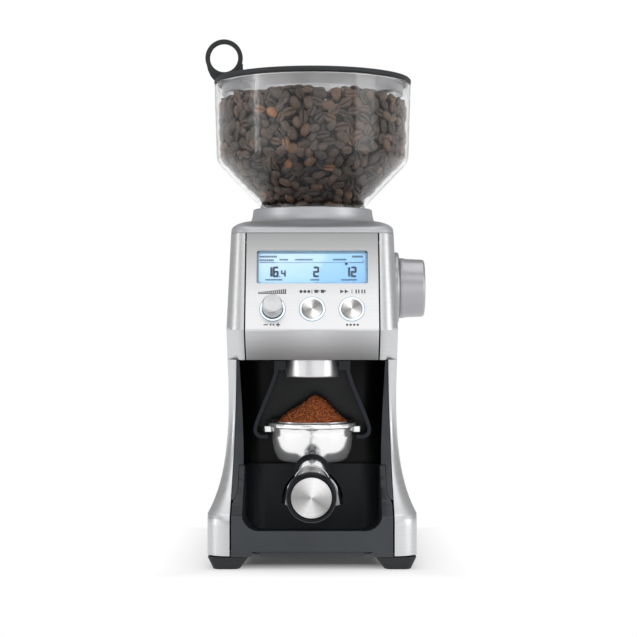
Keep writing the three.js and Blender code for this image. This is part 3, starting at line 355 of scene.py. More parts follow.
def held(shape):
    mesh = bpy.data.meshes.new("work")
    tidy(shape).to_mesh(mesh)
    shape.free()
    obj = bpy.data.objects.new("work", mesh)
    bpy.context.scene.collection.objects.link(obj)
    return obj


def combine(operation, shape, *tools):
    body = held(shape)
    parts = [held(tool) for tool in tools]
    for part in parts:
        step = body.modifiers.new("work", "BOOLEAN")
        step.operation = operation
        step.object = part
        step.solver = "EXACT"
    bpy.context.view_layer.update()
    made = bpy.data.meshes.new_from_object(body.evaluated_get(bpy.context.evaluated_depsgraph_get()))
    result = bmesh.new()
    result.from_mesh(made)
    bpy.data.meshes.remove(made)
    for obj in (body, *parts):
        mesh = obj.data
        bpy.data.objects.remove(obj)
        bpy.data.meshes.remove(mesh)
    return result


def cut(shape, *tools):
    return combine("DIFFERENCE", shape, *tools)


def join(shape, *tools):
    return combine("UNION", shape, *tools)


def common(shape, *tools):
    return combine("INTERSECT", shape, *tools)


def piece(name, shape, material, body, nodes=(), edge=0.0, sharp=38, place=None, segments=2):
    """Named piece from a shape in millimetres, with its crisp edges rounded off by `edge`."""
    tidy(shape)
    if edge:
        limit = math.radians(sharp)
        crisp = [e for e in shape.edges if e.is_manifold and e.calc_face_angle(0) > limit]
        bmesh.ops.bevel(
            shape, geom=crisp, offset=edge, segments=segments, profile=0.5, affect="EDGES", clamp_overlap=True
        )
    bmesh.ops.scale(shape, vec=(MM, MM, MM), verts=shape.verts)
    mesh = bpy.data.meshes.new(name)
    shape.to_mesh(mesh)
    shape.free()
    mesh.polygons.foreach_set("use_smooth", [True] * len(mesh.polygons))
    mesh.set_sharp_from_angle(angle=math.radians(sharp))
    mesh.materials.append(material)
    obj = bpy.data.objects.new(name, mesh)
    bpy.context.scene.collection.objects.link(obj)
    weighted = obj.modifiers.new("weighted", "WEIGHTED_NORMAL")
    weighted.keep_sharp = True
    if place is not None:
        obj.matrix_world = place
    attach(obj, body)
    if nodes:
        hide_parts(*nodes)
    return obj


# ------------------------------------------------------------------ materials
class Finish:
    """Principled material with its node tree close at hand."""

    def __init__(self, name, **values):
        self.material = bpy.data.materials.new(name)
        self.material.use_nodes = True
        self.tree = self.material.node_tree
        self.tree.nodes.clear()
        self.shader = self.node("BsdfPrincipled")
        output = self.node("OutputMaterial")
        self.tree.links.new(self.shader.outputs["BSDF"], output.inputs["Surface"])
        for socket, value in values.items():
            self.shader.inputs[socket.replace("_", " ")].default_value = value

    def node(self, kind, links=None, **settings):
        made = self.tree.nodes.new("ShaderNode" + kind)
        for key, value in settings.items():
            setattr(made, key, value)
        for socket, value in (links or {}).items():
            if isinstance(value, bpy.types.NodeSocket):
                self.tree.links.new(value, made.inputs[socket])
            else:
                made.inputs[socket].default_value = value
        return made

    def feed(self, socket, value):
        self.tree.links.new(value, self.shader.inputs[socket])

    def place(self):
        return self.node("TexCoord").outputs["Object"]

    def noise(self, scale, detail=3.0, where=None):
        """Noise with `scale` cells to the metre: one number, or one for each axis."""
        if not isinstance(scale, tuple):
            scale = (scale, scale, scale)
        mapping = self.node("Mapping", {"Vector": where or self.place(), "Scale": scale})
        links = {"Vector": mapping.outputs[0], "Scale": 1.0, "Detail": detail, "Roughness": 0.55}
        return self.node("TexNoise", links).outputs[0]

    def spread(self, value, low, high, start=0.3, stop=0.7):
        links = {"Value": value, "From Min": start, "From Max": stop, "To Min": low, "To Max": high}
        return self.node("MapRange", links).outputs[0]

    def ramp(self, value, *stops):
        made = self.node("ValToRGB", {"Fac": value})
        points = made.color_ramp.elements
        while len(points) < len(stops):
            points.new(0.5)
        for point, (place, colour) in zip(points, stops):
            point.position = place
            point.color = (*colour, 1)
        return made.outputs[0]

    def math(self, operation, a, b=0.0):
        return self.node("Math", {0: a, 1: b}, operation=operation).outputs[0]

    def blend(self, first, second, share):
        """Sum of two values, with `share` of the first and the rest of the second."""
        return self.math("ADD", self.math("MULTIPLY", first, share), self.math("MULTIPLY", second, 1 - share))

    def shaded(self, colour, light):
        """One colour multiplied by another."""
        return self.node(
            "Mix", {0: 1.0, 6: colour, 7: light}, data_type="RGBA", blend_type="MULTIPLY"
        ).outputs[2]

    def from_axis(self):
        """Distance from the piece's own Z axis, and height along it."""
        parts = self.node("SeparateXYZ", {0: self.place()})
        across = self.math("POWER", parts.outputs[0], 2.0)
        along = self.math("POWER", parts.outputs[1], 2.0)
        return self.math("SQRT", self.math("ADD", across, along)), parts.outputs[2]

    def bump(self, height, strength, distance):
        made = self.node("Bump", {"Height": height, "Strength": strength, "Distance": distance})
        self.feed("Normal", made.outputs[0])

    def angle(self):
        """Angle round the piece's own Z axis, in radians from its X axis."""
        parts = self.node("SeparateXYZ", {0: self.place()})
        return self.math("ARCTAN2", parts.outputs[1], parts.outputs[0])


def brushed_steel(name, stretch, low, high, rough, painted_shading=None):
    """Steel with straight brush lines; the last argument gives (height, brightness) stops of painted shade
    and painted highlight up the piece.
    """
    finish = Finish(name, Metallic=1.0, Anisotropic=0.3)
    fine = finish.noise(stretch, 3.0)
    broad = finish.noise(tuple(v * 0.22 for v in stretch), 2.0)
    patches = finish.noise(9, 2.0)
    lines = finish.blend(fine, broad, 0.65)
    colour = finish.ramp(lines, (0.36, low), (0.64, high))
    # Painted shade and painted highlight: base colour darkened or brightened by height.
    if painted_shading:
        height = finish.node("SeparateXYZ", {0: finish.place()}).outputs["Z"]
        share = finish.spread(height, 0.0, 1.0, BAY_TOP_Z * MM, HEAD_TOP_Z * MM)
        stops = [((z - BAY_TOP_Z) / (HEAD_TOP_Z - BAY_TOP_Z), (painted_brightness, painted_brightness, painted_brightness)) for z, painted_brightness in painted_shading]
        colour = finish.shaded(colour, finish.ramp(share, *stops))
    colour = finish.shaded(colour, finish.ramp(patches, (0.3, (0.94, 0.94, 0.95)), (0.7, (1, 1, 1))))
    finish.feed("Base Color", colour)
    smudge = finish.spread(patches, -0.02, 0.03)
    finish.feed(
        "Roughness",
        finish.math("ADD", finish.spread(lines, rough - 0.06, rough + 0.06, 0.36, 0.64), smudge)
    )
    up = finish.node("CombineXYZ", {"X": 0.0, "Y": 0.0, "Z": 1.0}).outputs[0]
    finish.feed("Tangent", up)
    finish.bump(lines, 0.05, 0.00004)
    return finish.material


def turned_metal(name, low, high, rough, pitch=1500, depth=0.1, metallic=1.0, aniso=0.7, coat=0.0, painted_highlights=()):
    """Metal with fine lines round its own Z axis; the last argument gives (share of a turn, brightness) stops
    of painted highlight and painted shade round the axis.
    """
    finish = Finish(name, Metallic=metallic, Anisotropic=aniso, Anisotropic_Rotation=0.25, Coat_Weight=coat)
    radius, height = finish.from_axis()
    flat = finish.node("CombineXYZ", {"X": radius, "Y": 0.0, "Z": height}).outputs[0]
    fine = finish.noise(pitch, 2.0, flat)
    broad = finish.noise(pitch / 5, 2.0, flat)
    patches = finish.noise(60, 2.0)
    lines = finish.blend(fine, broad, 0.6)
    colour = finish.ramp(lines, (0.35, low), (0.65, high))
    # Painted highlights and painted shade: base colour brighter and darker in sectors round the axis,
    # standing in for a spun finish's reflections.
    if painted_highlights:
        share = finish.spread(finish.angle(), 0.0, 1.0, -math.pi, math.pi)
        stops = [(at_turn, tuple(painted_brightness * c for c in (1, 0.985, 0.975))) for at_turn, painted_brightness in painted_highlights]
        colour = finish.shaded(colour, finish.ramp(share, *stops))
    finish.feed("Base Color", colour)
    grain = finish.spread(lines, rough - 0.05, rough + 0.05, 0.35, 0.65)
    finish.feed("Roughness", finish.math("ADD", grain, finish.spread(patches, -0.02, 0.02)))
    tangent = finish.node("Tangent", direction_type="RADIAL", axis="Z").outputs[0]
    finish.feed("Tangent", tangent)
    finish.bump(lines, depth, 0.00005)
    return finish.material


def chrome(name, rough, low, high, metallic=1.0):
    finish = Finish(name, Metallic=metallic)
    smear = finish.noise((38, 38, 60), 4.0)
    speck = finish.noise(900, 2.0)
    finish.feed("Base Color", finish.ramp(smear, (0.3, low), (0.7, high)))
    grain = finish.spread(smear, rough - 0.02, rough + 0.03)
    finish.feed("Roughness", finish.math("ADD", grain, finish.spread(speck, -0.01, 0.02)))
    finish.bump(smear, 0.03, 0.0002)
    return finish.material


def silver_paint(name, low, high, rough):
    finish = Finish(name, Metallic=0.8, Coat_Weight=0.12, Coat_Roughness=0.3)
    flake = finish.noise(2600, 2.0)
    cloud = finish.noise(22, 3.0)
    mix = finish.blend(flake, cloud, 0.6)
    finish.feed("Base Color", finish.ramp(mix, (0.35, low), (0.65, high)))
    finish.feed("Roughness", finish.spread(mix, rough - 0.04, rough + 0.06, 0.35, 0.65))
    finish.bump(flake, 0.06, 0.00003)
    return finish.material


def moulded(name, low, high, rough, grain=1400, depth=0.12, specular=0.5, coat=0.0):
    """Moulded plastic or rubber: fine spark-eroded grain, faint colour variation."""
    finish = Finish(name, Specular_IOR_Level=specular, Coat_Weight=coat, Coat_Roughness=0.12)
    fine = finish.noise(grain, 3.0)
    cloud = finish.noise(26, 4.0)
    mix = finish.blend(fine, cloud, 0.4)
    colour = finish.ramp(mix, (0.35, low), (0.65, high))
    finish.feed("Base Color", colour)
    finish.feed("Roughness", finish.spread(mix, rough - 0.05, rough + 0.07, 0.35, 0.65))
    finish.bump(fine, depth, 0.00006)
    return finish.material


def clear_plastic(name, colour, rough, ior=1.49, coat=0.0):
    finish = Finish(name, Transmission_Weight=1.0, IOR=ior, Coat_Weight=coat, Coat_Roughness=0.15)
    cloud = finish.noise((30, 30, 12), 3.0)
    scratch = finish.noise((700, 700, 60), 2.0)
    finish.feed(
        "Base Color", finish.ramp(cloud, (0.3, colour), (0.7, tuple(min(1, c + 0.02) for c in colour)))
    )
    finish.feed(
        "Roughness",
        finish.math("ADD", finish.spread(cloud, rough * 0.6, rough * 1.4), finish.spread(scratch, 0.0, 0.01))
    )
    finish.bump(cloud, 0.02, 0.0002)
    return finish.material


def bean_surface():
    """Roasted beans with painted shade: darker with their depth behind the glass and below the heap's top, a
    little brighter right at the glass.
    """
    finish = Finish("roasted_bean", Specular_IOR_Level=0.3, Coat_Weight=0.1, Coat_Roughness=0.35)
    pick = finish.node("NewGeometry").outputs["Random Per Island"]
    skin = finish.noise(520, 4.0)
    shade = finish.ramp(
        pick,
        (0.0, (0.022, 0.014, 0.01)),
        (0.4, (0.034, 0.022, 0.015)),
        (0.75, (0.055, 0.032, 0.02)),
        (0.94, (0.09, 0.048, 0.024)),
        (0.98, (0.14, 0.065, 0.025)),
        (1.0, (0.2, 0.085, 0.03)),
    )
    shade = finish.shaded(shade, finish.ramp(skin, (0.3, (0.6, 0.6, 0.6)), (0.7, (1.15, 1.1, 1.05))))
    radius, height = finish.from_axis()
    wall = finish.spread(
        height, CONE_LOW_RADIUS * MM, CONE_HIGH_RADIUS * MM, CONE_LOW_Z * MM, CONE_HIGH_Z * MM
    )
    below_top = finish.math("SUBTRACT", HEAP_TOP_Z * MM, height)
    depth = finish.math("MINIMUM", finish.math("SUBTRACT", wall, radius), below_top)
    # Painted shade by depth behind the glass and below the heap's top; slightly brightened at the glass.
    painted_depth_shade = finish.ramp(
        finish.spread(depth, 0.0, 1.0, 0.0, 0.008), (0.1, (1.2, 1.2, 1.2)), (0.4, (0.6, 0.58, 0.56)),
        (0.7, (0.03, 0.028, 0.026))
    )
    finish.feed("Base Color", finish.shaded(shade, painted_depth_shade))
    finish.feed("Roughness", finish.spread(skin, 0.36, 0.56))
    finish.bump(skin, 0.25, 0.0002)
    return finish.material


# Nearly black fill standing in for the beans deep in the hopper: painted shadow in the gaps between the
# visible beans.
def bean_shadow():
    finish = Finish("bean_depth_shadow", Specular_IOR_Level=0.2)
    lumps = finish.noise(130, 3.0)
    finish.feed("Base Color", finish.ramp(lumps, (0.4, (0.004, 0.003, 0.003)), (0.7, (0.02, 0.011, 0.008))))
    finish.feed("Roughness", finish.spread(lumps, 0.6, 0.9))
    finish.bump(lumps, 0.8, 0.002)
    return finish.material


def ground_surface():
    finish = Finish("ground_coffee", Specular_IOR_Level=0.25)
    grains = finish.node("TexVoronoi", {"Vector": finish.place(), "Scale": 1450.0, "Randomness": 1.0})
    pick = finish.node("SeparateColor", {0: grains.outputs["Color"]}).outputs[0]
    clump = finish.noise(230, 4.0)
    mix = finish.blend(pick, clump, 0.75)
    colours = (
        (0.1, (0.022, 0.006, 0.003)), (0.3, (0.11, 0.026, 0.008)), (0.55, (0.26, 0.062, 0.017)),
        (0.75, (0.43, 0.115, 0.032)),
        (0.92, (0.62, 0.21, 0.07)),
    )
    finish.feed("Base Color", finish.ramp(mix, *colours))
    finish.feed("Roughness", finish.spread(pick, 0.75, 1.0, 0.0, 1.0))
    finish.bump(mix, 0.8, 0.0007)
    return finish.material


def display_surface():
    """Pale blue liquid-crystal panel with painted light: a painted reflection brighter to the left of a soft
    slanting edge, and painted light rising towards its top and its left side.
    """
    finish = Finish("display_glow", Specular_IOR_Level=0.4)
    parts = finish.node("SeparateXYZ", {0: finish.place()})
    x, y = parts.outputs[0], parts.outputs[1]
    grain = finish.noise(4000, 1.0)
    # Painted reflection left of a slanting edge, plus painted light rising up the panel and towards its left.
    slant = finish.math("SUBTRACT", x, finish.math("MULTIPLY", y, 0.4))
    painted_brightness = finish.spread(slant, 0.26, 0.0, -0.0146, -0.0116)
    rise = finish.spread(y, 0.0, 0.42, 0.036, 0.061)
    side = finish.spread(x, 0.34, 0.0, -0.04, 0.04)
    level = finish.math(
        "ADD", finish.math("ADD", painted_brightness, rise), finish.math("ADD", side, finish.spread(grain, -0.01, 0.01))
    )
    colour = finish.ramp(
        level, (0.0, (0.17, 0.38, 0.66)), (0.45, (0.27, 0.48, 0.72)), (1.0, (0.48, 0.62, 0.76))
    )
    finish.feed("Base Color", colour)
    finish.feed("Emission Color", colour)
    finish.shader.inputs["Emission Strength"].default_value = 0.06
    finish.feed("Roughness", finish.spread(grain, 0.25, 0.35))
    finish.bump(grain, 0.02, 0.00002)
    return finish.material


def glow(name, low, high, strength):
    finish = Finish(name, Specular_IOR_Level=0.5)
    cloud = finish.noise(160, 3.0)
    colour = finish.ramp(cloud, (0.3, low), (0.7, high))
    finish.feed("Base Color", colour)
    finish.feed("Emission Color", colour)
    finish.shader.inputs["Emission Strength"].default_value = strength
    finish.feed("Roughness", finish.spread(cloud, 0.3, 0.42))
    finish.bump(cloud, 0.03, 0.00005)
    return finish.material


def board_surface():
    finish = Finish("circuit_board", Specular_IOR_Level=0.5, Coat_Weight=0.3)
    brick = finish.node("TexVoronoi", {"Vector": finish.place(), "Scale": 260.0}, feature="DISTANCE_TO_EDGE")
    tracks = brick.outputs[0]
    finish.feed("Base Color", finish.ramp(tracks, (0.04, (0.04, 0.22, 0.1)), (0.12, (0.012, 0.1, 0.04))))
    finish.feed("Roughness", finish.spread(tracks, 0.3, 0.5, 0.0, 0.3))
    finish.bump(tracks, 0.2, 0.00005)
    return finish.material


body_steel = brushed_steel("body_steel", (16, 16, 5200), (0.62, 0.625, 0.632), (0.69, 0.695, 0.7), 0.4)
# Fascia steel with painted shading: a painted highlight at the crease, painted shade darkening towards the
# head's top and down to the bay's top edge.
fascia_steel = brushed_steel(
    "fascia_steel", (14, 4200, 5200), (0.74, 0.743, 0.748), (0.82, 0.823, 0.828), 0.36,
    painted_shading=(
        (BAY_TOP_Z, 0.6), (CREASE_Z - 2, 1.04), (CREASE_Z + 1, 1), (CREASE_Z + 24, 0.94), (HEAD_TOP_Z, 0.42)
    ),
)
basket_steel = turned_metal("basket_steel", (0.45, 0.45, 0.46), (0.62, 0.62, 0.63), 0.3)
# Painted highlight and painted shade sectors round the spun faces of the buttons and the handle's cap: (share
# of a turn, brightness).
BUTTON_PAINTED_HIGHLIGHTS = (
    (0.0, 0.42), (0.08, 0.3), (0.18, 0.5), (0.28, 1.25), (0.36, 1.2), (0.46, 0.5), (0.58, 0.3),
    (0.69, 0.42), (0.79, 1.25),
    (0.87, 1.15), (1.0, 0.42),
)
CAP_PAINTED_HIGHLIGHTS = (
    (0.0, 0.42), (0.1, 0.6), (0.19, 1.0), (0.27, 1.0), (0.4, 0.42), (0.5, 0.62), (0.62, 1.1), (0.72, 1.25),
    (0.8, 1.05),
    (0.92, 0.55), (1.0, 0.42),
)
button_steel = turned_metal(
    "button_steel", (0.8, 0.79, 0.78), (0.92, 0.91, 0.9), 0.34, 2600, 0.04, aniso=0.6, painted_highlights=BUTTON_PAINTED_HIGHLIGHTS
)
cap_steel = turned_metal(
    "cap_steel", (0.72, 0.72, 0.73), (0.82, 0.82, 0.83), 0.36, 2600, 0.04, aniso=0.5, painted_highlights=CAP_PAINTED_HIGHLIGHTS
)
knob_silver = turned_metal("knob_silver", (0.52, 0.52, 0.53), (0.64, 0.64, 0.65), 0.34, 1500, 0.05, aniso=0.4)
dial_silver = turned_metal(
    "dial_silver", (0.4, 0.4, 0.42), (0.46, 0.46, 0.485), 0.38, 5200, 0.02, 0.85, 0.3, 0.1
)
plate_silver = turned_metal(
    "plate_silver", (0.36, 0.37, 0.39), (0.44, 0.45, 0.47), 0.34, 5200, 0.02, 0.9, 0.3
)
satin_chrome = turned_metal(
    "satin_chrome", (0.66, 0.66, 0.67), (0.74, 0.74, 0.75), 0.32, 5200, 0.02, 0.8, 0.3
)
bowl_chrome = chrome("bowl_chrome", 0.17, (0.93, 0.93, 0.935), (0.97, 0.97, 0.97), 0.82)
dark_chrome = chrome("dark_chrome", 0.08, (0.16, 0.165, 0.175), (0.24, 0.245, 0.255))
cover_silver = silver_paint("cover_silver", (0.44, 0.45, 0.47), (0.54, 0.55, 0.57), 0.46)
machined = turned_metal("machined_steel", (0.36, 0.36, 0.37), (0.56, 0.56, 0.57), 0.3)
polished = chrome("polished_chrome", 0.07, (0.78, 0.79, 0.8), (0.9, 0.905, 0.91))
gloss_black = moulded("gloss_black", (0.003, 0.004, 0.006), (0.007, 0.009, 0.012), 0.2, 900, 0.02, 0.16, 0.04)
cradle_black = moulded(
    "cradle_black", (0.003, 0.005, 0.008), (0.007, 0.01, 0.015), 0.22, 1200, 0.03, 0.22, 0.08
)
satin_black = moulded("satin_black", (0.007, 0.008, 0.01), (0.016, 0.018, 0.021), 0.4)
liner_black = moulded("liner_black", (0.004, 0.0045, 0.0055), (0.009, 0.01, 0.012), 0.45, 1800, 0.18, 0.35)
charcoal = moulded("charcoal", (0.019, 0.023, 0.028), (0.034, 0.039, 0.045), 0.42, 1600, 0.16)
dark_rubber = moulded("dark_rubber", (0.01, 0.012, 0.014), (0.02, 0.023, 0.026), 0.55, 1200, 0.2, 0.4)
nylon = moulded("nylon", (0.66, 0.62, 0.53), (0.78, 0.75, 0.66), 0.45, 1500, 0.1)
legend_grey = moulded("legend_grey", (0.05, 0.052, 0.056), (0.075, 0.078, 0.083), 0.45, 2600, 0.05)
digit_ink = moulded("digit_ink", (0.008, 0.02, 0.045), (0.014, 0.032, 0.065), 0.35, 2600, 0.03)
caption_ink = moulded("caption_ink", (0.018, 0.05, 0.085), (0.03, 0.075, 0.12), 0.35, 2600, 0.03)
clear = clear_plastic("clear_plastic", (0.93, 0.935, 0.94), 0.015, 1.2, 0.22)
lid_clear = clear_plastic("lid_clear", (0.66, 0.66, 0.665), 0.2, 1.3)
screen_clear = clear_plastic("screen_clear", (0.97, 0.98, 0.99), 0.02, 1.18)
display_blue = display_surface()
display_edge = moulded("display_edge", (0.13, 0.25, 0.36), (0.17, 0.31, 0.43), 0.3, 2000, 0.05)
halo_light = glow("halo_light", (0.78, 0.87, 0.94), (0.88, 0.94, 0.98), 0.35)
board_green = board_surface()
roasted = bean_surface()
painted_bean_shadow = bean_shadow()
grounds = ground_surface()


# ------------------------------------------------------------------ casing
def skin_ring(z, edge_x, side):
    def path(inset):
        half = half_width(z) - inset
        front = front_y(z) + inset
        back = back_y(z) - inset
        depth = corner_depth(z) - inset
        rear = REAR_CORNER - inset
        turns = steps(0, math.pi / 2, 12)
        points = [(edge_x + (half - edge_x) * math.sin(t), front + depth * (1 - math.cos(t))) for t in turns]
        points += [(half - rear * (1 - math.cos(t)), back - rear * (1 - math.sin(t))) for t in turns]
        return points + [(REAR_PANEL_HALF + GAP, back)]

    return [(side * x, y, z) for x, y in path(0) + path(SKIN)[::-1]]


def side_panel(side):
    low = [BASE_BOTTOM_Z, 20, 30, 34, 35.5, 37, FLARE_Z, 39, 40.5, 42.5, 45, 48, 52, 56, 61, 67]
    low += steps(74, BAY_TOP_Z, 9) + [BAY_TOP_Z + 0.2]
    high = steps(BAY_TOP_Z, CREASE_Z, 6) + steps(CREASE_Z + 2, HEAD_TOP_Z, 8)
    lower = loft([skin_ring(z, bay_edge(z), side) for z in low])
    upper = loft([skin_ring(z, PILLAR_EDGE_X, side) for z in high])
    if side < 0:
        return merged(lower, upper)
    hole = moved(disc(20, 40, 80), DIAL)
    return merged(lower, cut(upper, hole))


piece("side_skin_right", side_panel(1), body_steel, "base", ["side_panel_right"], 0.25, 50)
piece("side_skin_left", side_panel(-1), body_steel, "base", ["side_panel_left"], 0.25, 50)


def back_cover():
    levels = [
        BASE_BOTTOM_Z, 30, FLARE_Z, 39, 41, 44, 48, 52, 58, 64, 72, 80, 100, 124, BAY_TOP_Z, 190, HEAD_TOP_Z
    ]
    half = REAR_PANEL_HALF
    sheet = loft(
        [
            [(half, back_y(z) - 2, z), (half, back_y(z), z), (-half, back_y(z), z), (-half, back_y(z) - 2, z)]
            for z in levels
        ]
    )
    vents = [prism(rounded_box(-28, 28, z, z + 3.4, 1.69), 130, 170, "y") for z in (170, 178, 186, 194, 202)]
    screws = [prism(arc(x, 224, 1.9, 0, 360, 32)[:-1], 130, 170, "y") for x in (-36, 36)]
    gland = prism(arc(26, 24, 6.4, 0, 360, 48)[:-1], 130, 170, "y")
    return cut(sheet, *vents, *screws, gland)


piece("back_panel", back_cover(), charcoal, "base", ["rear_cover"], 0.35, 50)


def fascia_plate():
    along = math.degrees(PANEL_ANGLE)
    under = math.degrees(math.atan2(CREASE_Z - BAY_TOP_Z, CREASE_Y - BAY_HIGH_Y))
    bend = 1.6
    half_turn = math.radians((180 - (under - along)) / 2)
    reach = bend / math.tan(half_turn)
    lower = (
        CREASE_Y - reach * math.cos(math.radians(under)), CREASE_Z - reach * math.sin(math.radians(under))
    )
    upper = (
        CREASE_Y + reach * math.cos(math.radians(along)), CREASE_Z + reach * math.sin(math.radians(along))
    )
    crease = [
        tuple(
            between(between(a, c, t), between(c, b, t), t)
            for a, c, b in zip(lower, (CREASE_Y, CREASE_Z), upper)
        )
        for t in steps(0, 1, 6)
    ]
    front = [(BAY_HIGH_Y, BAY_TOP_Z), *crease, (HEAD_FRONT_Y, HEAD_TOP_Z)]
    deep = 2 / math.sin(PANEL_ANGLE)
    plate = prism(front + [(y + deep, z) for y, z in reversed(front)], -FASCIA_HALF, FASCIA_HALF, "x")
    holes = [disc(HALO_RADIUS + GAP, -8, 8, 96) for _ in range(3)]
    for index, hole in enumerate(holes):
        moved(hole, PANEL @ at((index - 1) * CONTROL_SPACING, CONTROL_V, 0))
    window = moved(prism(rounded_box(-WINDOW_HALF, WINDOW_HALF, WINDOW_LOW, WINDOW_HIGH, 1.2), -8, 8), PANEL)
    return cut(plate, *holes, window)


piece("fascia_plate", fascia_plate(), fascia_steel, "base", ["front_fascia"], 0.2, 50)


def cover_ring(z, inset, front_inset):
    half = half_width(HEAD_TOP_Z) - inset
    back = back_y(HEAD_TOP_Z) - inset
    ring = rounded_box(-half, half, HEAD_FRONT_Y + front_inset, back, REAR_CORNER - inset / 2, 10)
    return [(x, y, z) for x, y in ring]


def top_shell():
    contour = [
        (238, 0, 0), (241.5, 0.4, 1.5), (243.5, 2, 4.5), (245.4, 4.8, 9.5), (247.2, 9.6, 17),
        (248, 13.5, 25.5)
    ]
    contour = smooth_line(contour, 4)
    shell = loft([cover_ring(*level) for level in contour])
    hollow = loft([cover_ring(237, 2.4, 2.4), cover_ring(240, 2.6, 6), cover_ring(244, 8, 17)])
    foot = smooth_line([(51, 247.4), (48.6, 248.3), (47.1, 250.4), (46.1, 253.3)], 4)
    rim = arc(44.4, 257.9, 1.1, 0, 90, 5)
    collar = lathe([(0, 236.5), (45, 236.5), (50.5, 246.5), *foot, *rim, (0, 259)], 160)
    bore = lathe([(0, 230), (36.6, 230), (36.6, 245.7), (43, 245.7), (43, 270), (0, 270)], 160)
    return cut(join(cut(shell, hollow), moved(collar, HOPPER)), moved(bore, HOPPER))


piece("cover_shell", top_shell(), cover_silver, "base", ["top_cover"], 0.3, 50)


def foot_block(side, end):
    edge = BASE_FRONT_Y if end > 0 else BASE_BACK_Y
    rings = []
    for t in (0, 0.1, 0.5, 0.92, 1):
        ring = rounded_box(
            between(50.8, 44.4, t), between(69.4, 73.4, t), between(2.6, 0.5, t), between(29.4, 33, t), 5
        )
        rings.append([(side * x, edge + end * y, 8.7 * t) for x, y in ring])
    return loft(rings)


for end, end_name in ((1, "front"), (-1, "rear")):
    for side, side_name in ((-1, "left"), (1, "right")):
        piece(
            f"pad_{end_name}_{side_name}", foot_block(side, end), dark_rubber, "base",
            [f"foot_{end_name}_{side_name}"], 0.5, 45,
        )


# ------------------------------------------------------------------ bay
def bay_curve(offset, low, high, count):
    return [(front_y(z) + offset, z) for z in steps(low, high, count)]


def liner_shell():
    def plan(half, back, radius):
        return [(-half, -60), (half, -60), *arc(half - radius, back - radius, radius, 0, 90, 14),
                *arc(radius - half, back - radius, radius, 90, 180, 14)]

    block = prism(plan(56, 66, 18), LINER_LOW_Z, 147.6)
    hollow = prism(plan(54, 64, 16), LINER_LOW_Z - 5, 145.6)
    low = LINER_LOW_Z - 2
    side = prism(
        [*bay_curve(4.1, low, 145.6, 24), (-4, 145.7), (-4, 150), (90, 150), (90, low)], -70, 70, "x"
    )
    outlet = moved(disc(24.3, 140, 150, 96), OUTLET)
    return common(cut(block, hollow, outlet), side)


piece("bay_shell", liner_shell(), liner_black, "base", ["bay_liner"], 0.3, 50)


def tray_sides(offset, top):
    """Front outline of the tray: wide below, drawn in by a soft curve further up."""
    bend = smooth_line([(TRAY_HALF, 44), (56.2, 46), (55, 48.2), (53.7, 50.5), (TRAY_UPPER_HALF, 53.4)], 4)
    right = [(x + offset, z) for x, z in [(TRAY_HALF, 0), *bend, (TRAY_UPPER_HALF, top)]]
    return prism(both_sides(right), -80, 80, "y")


def bay_flange():
    front = bay_curve(0.4, 47, 145.6, 28)
    strip = prism(front + bay_curve(3.4, 47, 145.6, 28)[::-1], -60, 60, "x")
    edge = [(bay_edge(z) - 0.4, z) for z in steps(46, 148, 14)]
    limit = prism(both_sides(edge), -80, 80, "y")
    side = smooth_line([(49.8, 60), (50.2, 78), (51, 96), (51.8, 116), (52.4, 132), (52.6, 150)], 5)
    opening = prism(both_sides(side), -80, 80, "y")
    foot = prism([(-49.8, 40), (49.8, 40), (49.8, 61), (-49.8, 61)], -80, 80, "y")
    return cut(common(strip, limit), opening, foot, tray_sides(GAP, TRAY_FRONT_RIM_Z + 0.6))


piece("bay_flange", bay_flange(), charcoal, "base", ["bay_frame"], 0.35, 50)


def cradle_body():
    outer = smooth_line(
        [
            (27.5, 137), (30.5, 128), (35, 117), (39.5, 106), (42.3, 97.4), (42, 92.5), (39.5, 90),
            (36, 89), (32, 89.2)
        ],
        5
    )
    inner = smooth_line(
        [
            (32, 91.6), (35.6, 91.5), (38.2, 92), (39.8, 94.2), (39.7, 97.6), (37, 105), (32.5, 116),
            (28, 127), (25, 136)
        ],
        5
    )
    arm = [(24.6, 145.3), (27.5, 145.3), *outer, *inner, (24.6, 138)]
    right = prism(arm, -8, 44, "y")
    left = mirrored(prism(arm, -8, 44, "y"))
    bell = [(27.5, 145.3), *outer[:-11]]
    plate = prism(both_sides(bell), 41.5, 44, "y")
    crown = prism(rounded_box(-27, 27, -8, 44, 2), 138.5, 145.3)
    hole = moved(disc(24.3, 130, 160, 96), OUTLET)
    switch = prism(arc(0, 98, 4.7, 0, 360, 40)[:-1], 30, 60, "y")
    post = prism(rounded_box(-8, 8, 112, 128, 2), 43.5, 63.7, "y")
    return cut(join(plate, right, left, crown, post), hole, switch)


piece("cradle_bell", cradle_body(), cradle_black, "base", ["cradle"], 0.95, 45, segments=4)

switch_profile = [(0, -54), (4.2, -54), (4.2, -41.4), *arc(2.6, -41.6, 1.6, 8, 85, 5), (0, -39.95)]
piece(
    "cradle_switch", lathe(switch_profile, 48), satin_black, "portafilter_switch",
    ["portafilter_switch"], 0.1, 50, at(0, 0, 98) @ FORWARD,
)

outlet_profile = [
    (17.4, 134.4), (17.7, 133.5), (18.4, 133.2), (19.4, 133.2), (20.1, 133.6), (20.3, 134.4), (20.3, 145.6),
    (19, 145.6), (19, 150), (17.4, 150), (17.4, 134.4),
]
piece(
    "outlet_collar", lathe(outlet_profile, 120), satin_chrome, "base", ["outlet_ring"], 0, 50,
    OUTLET
)


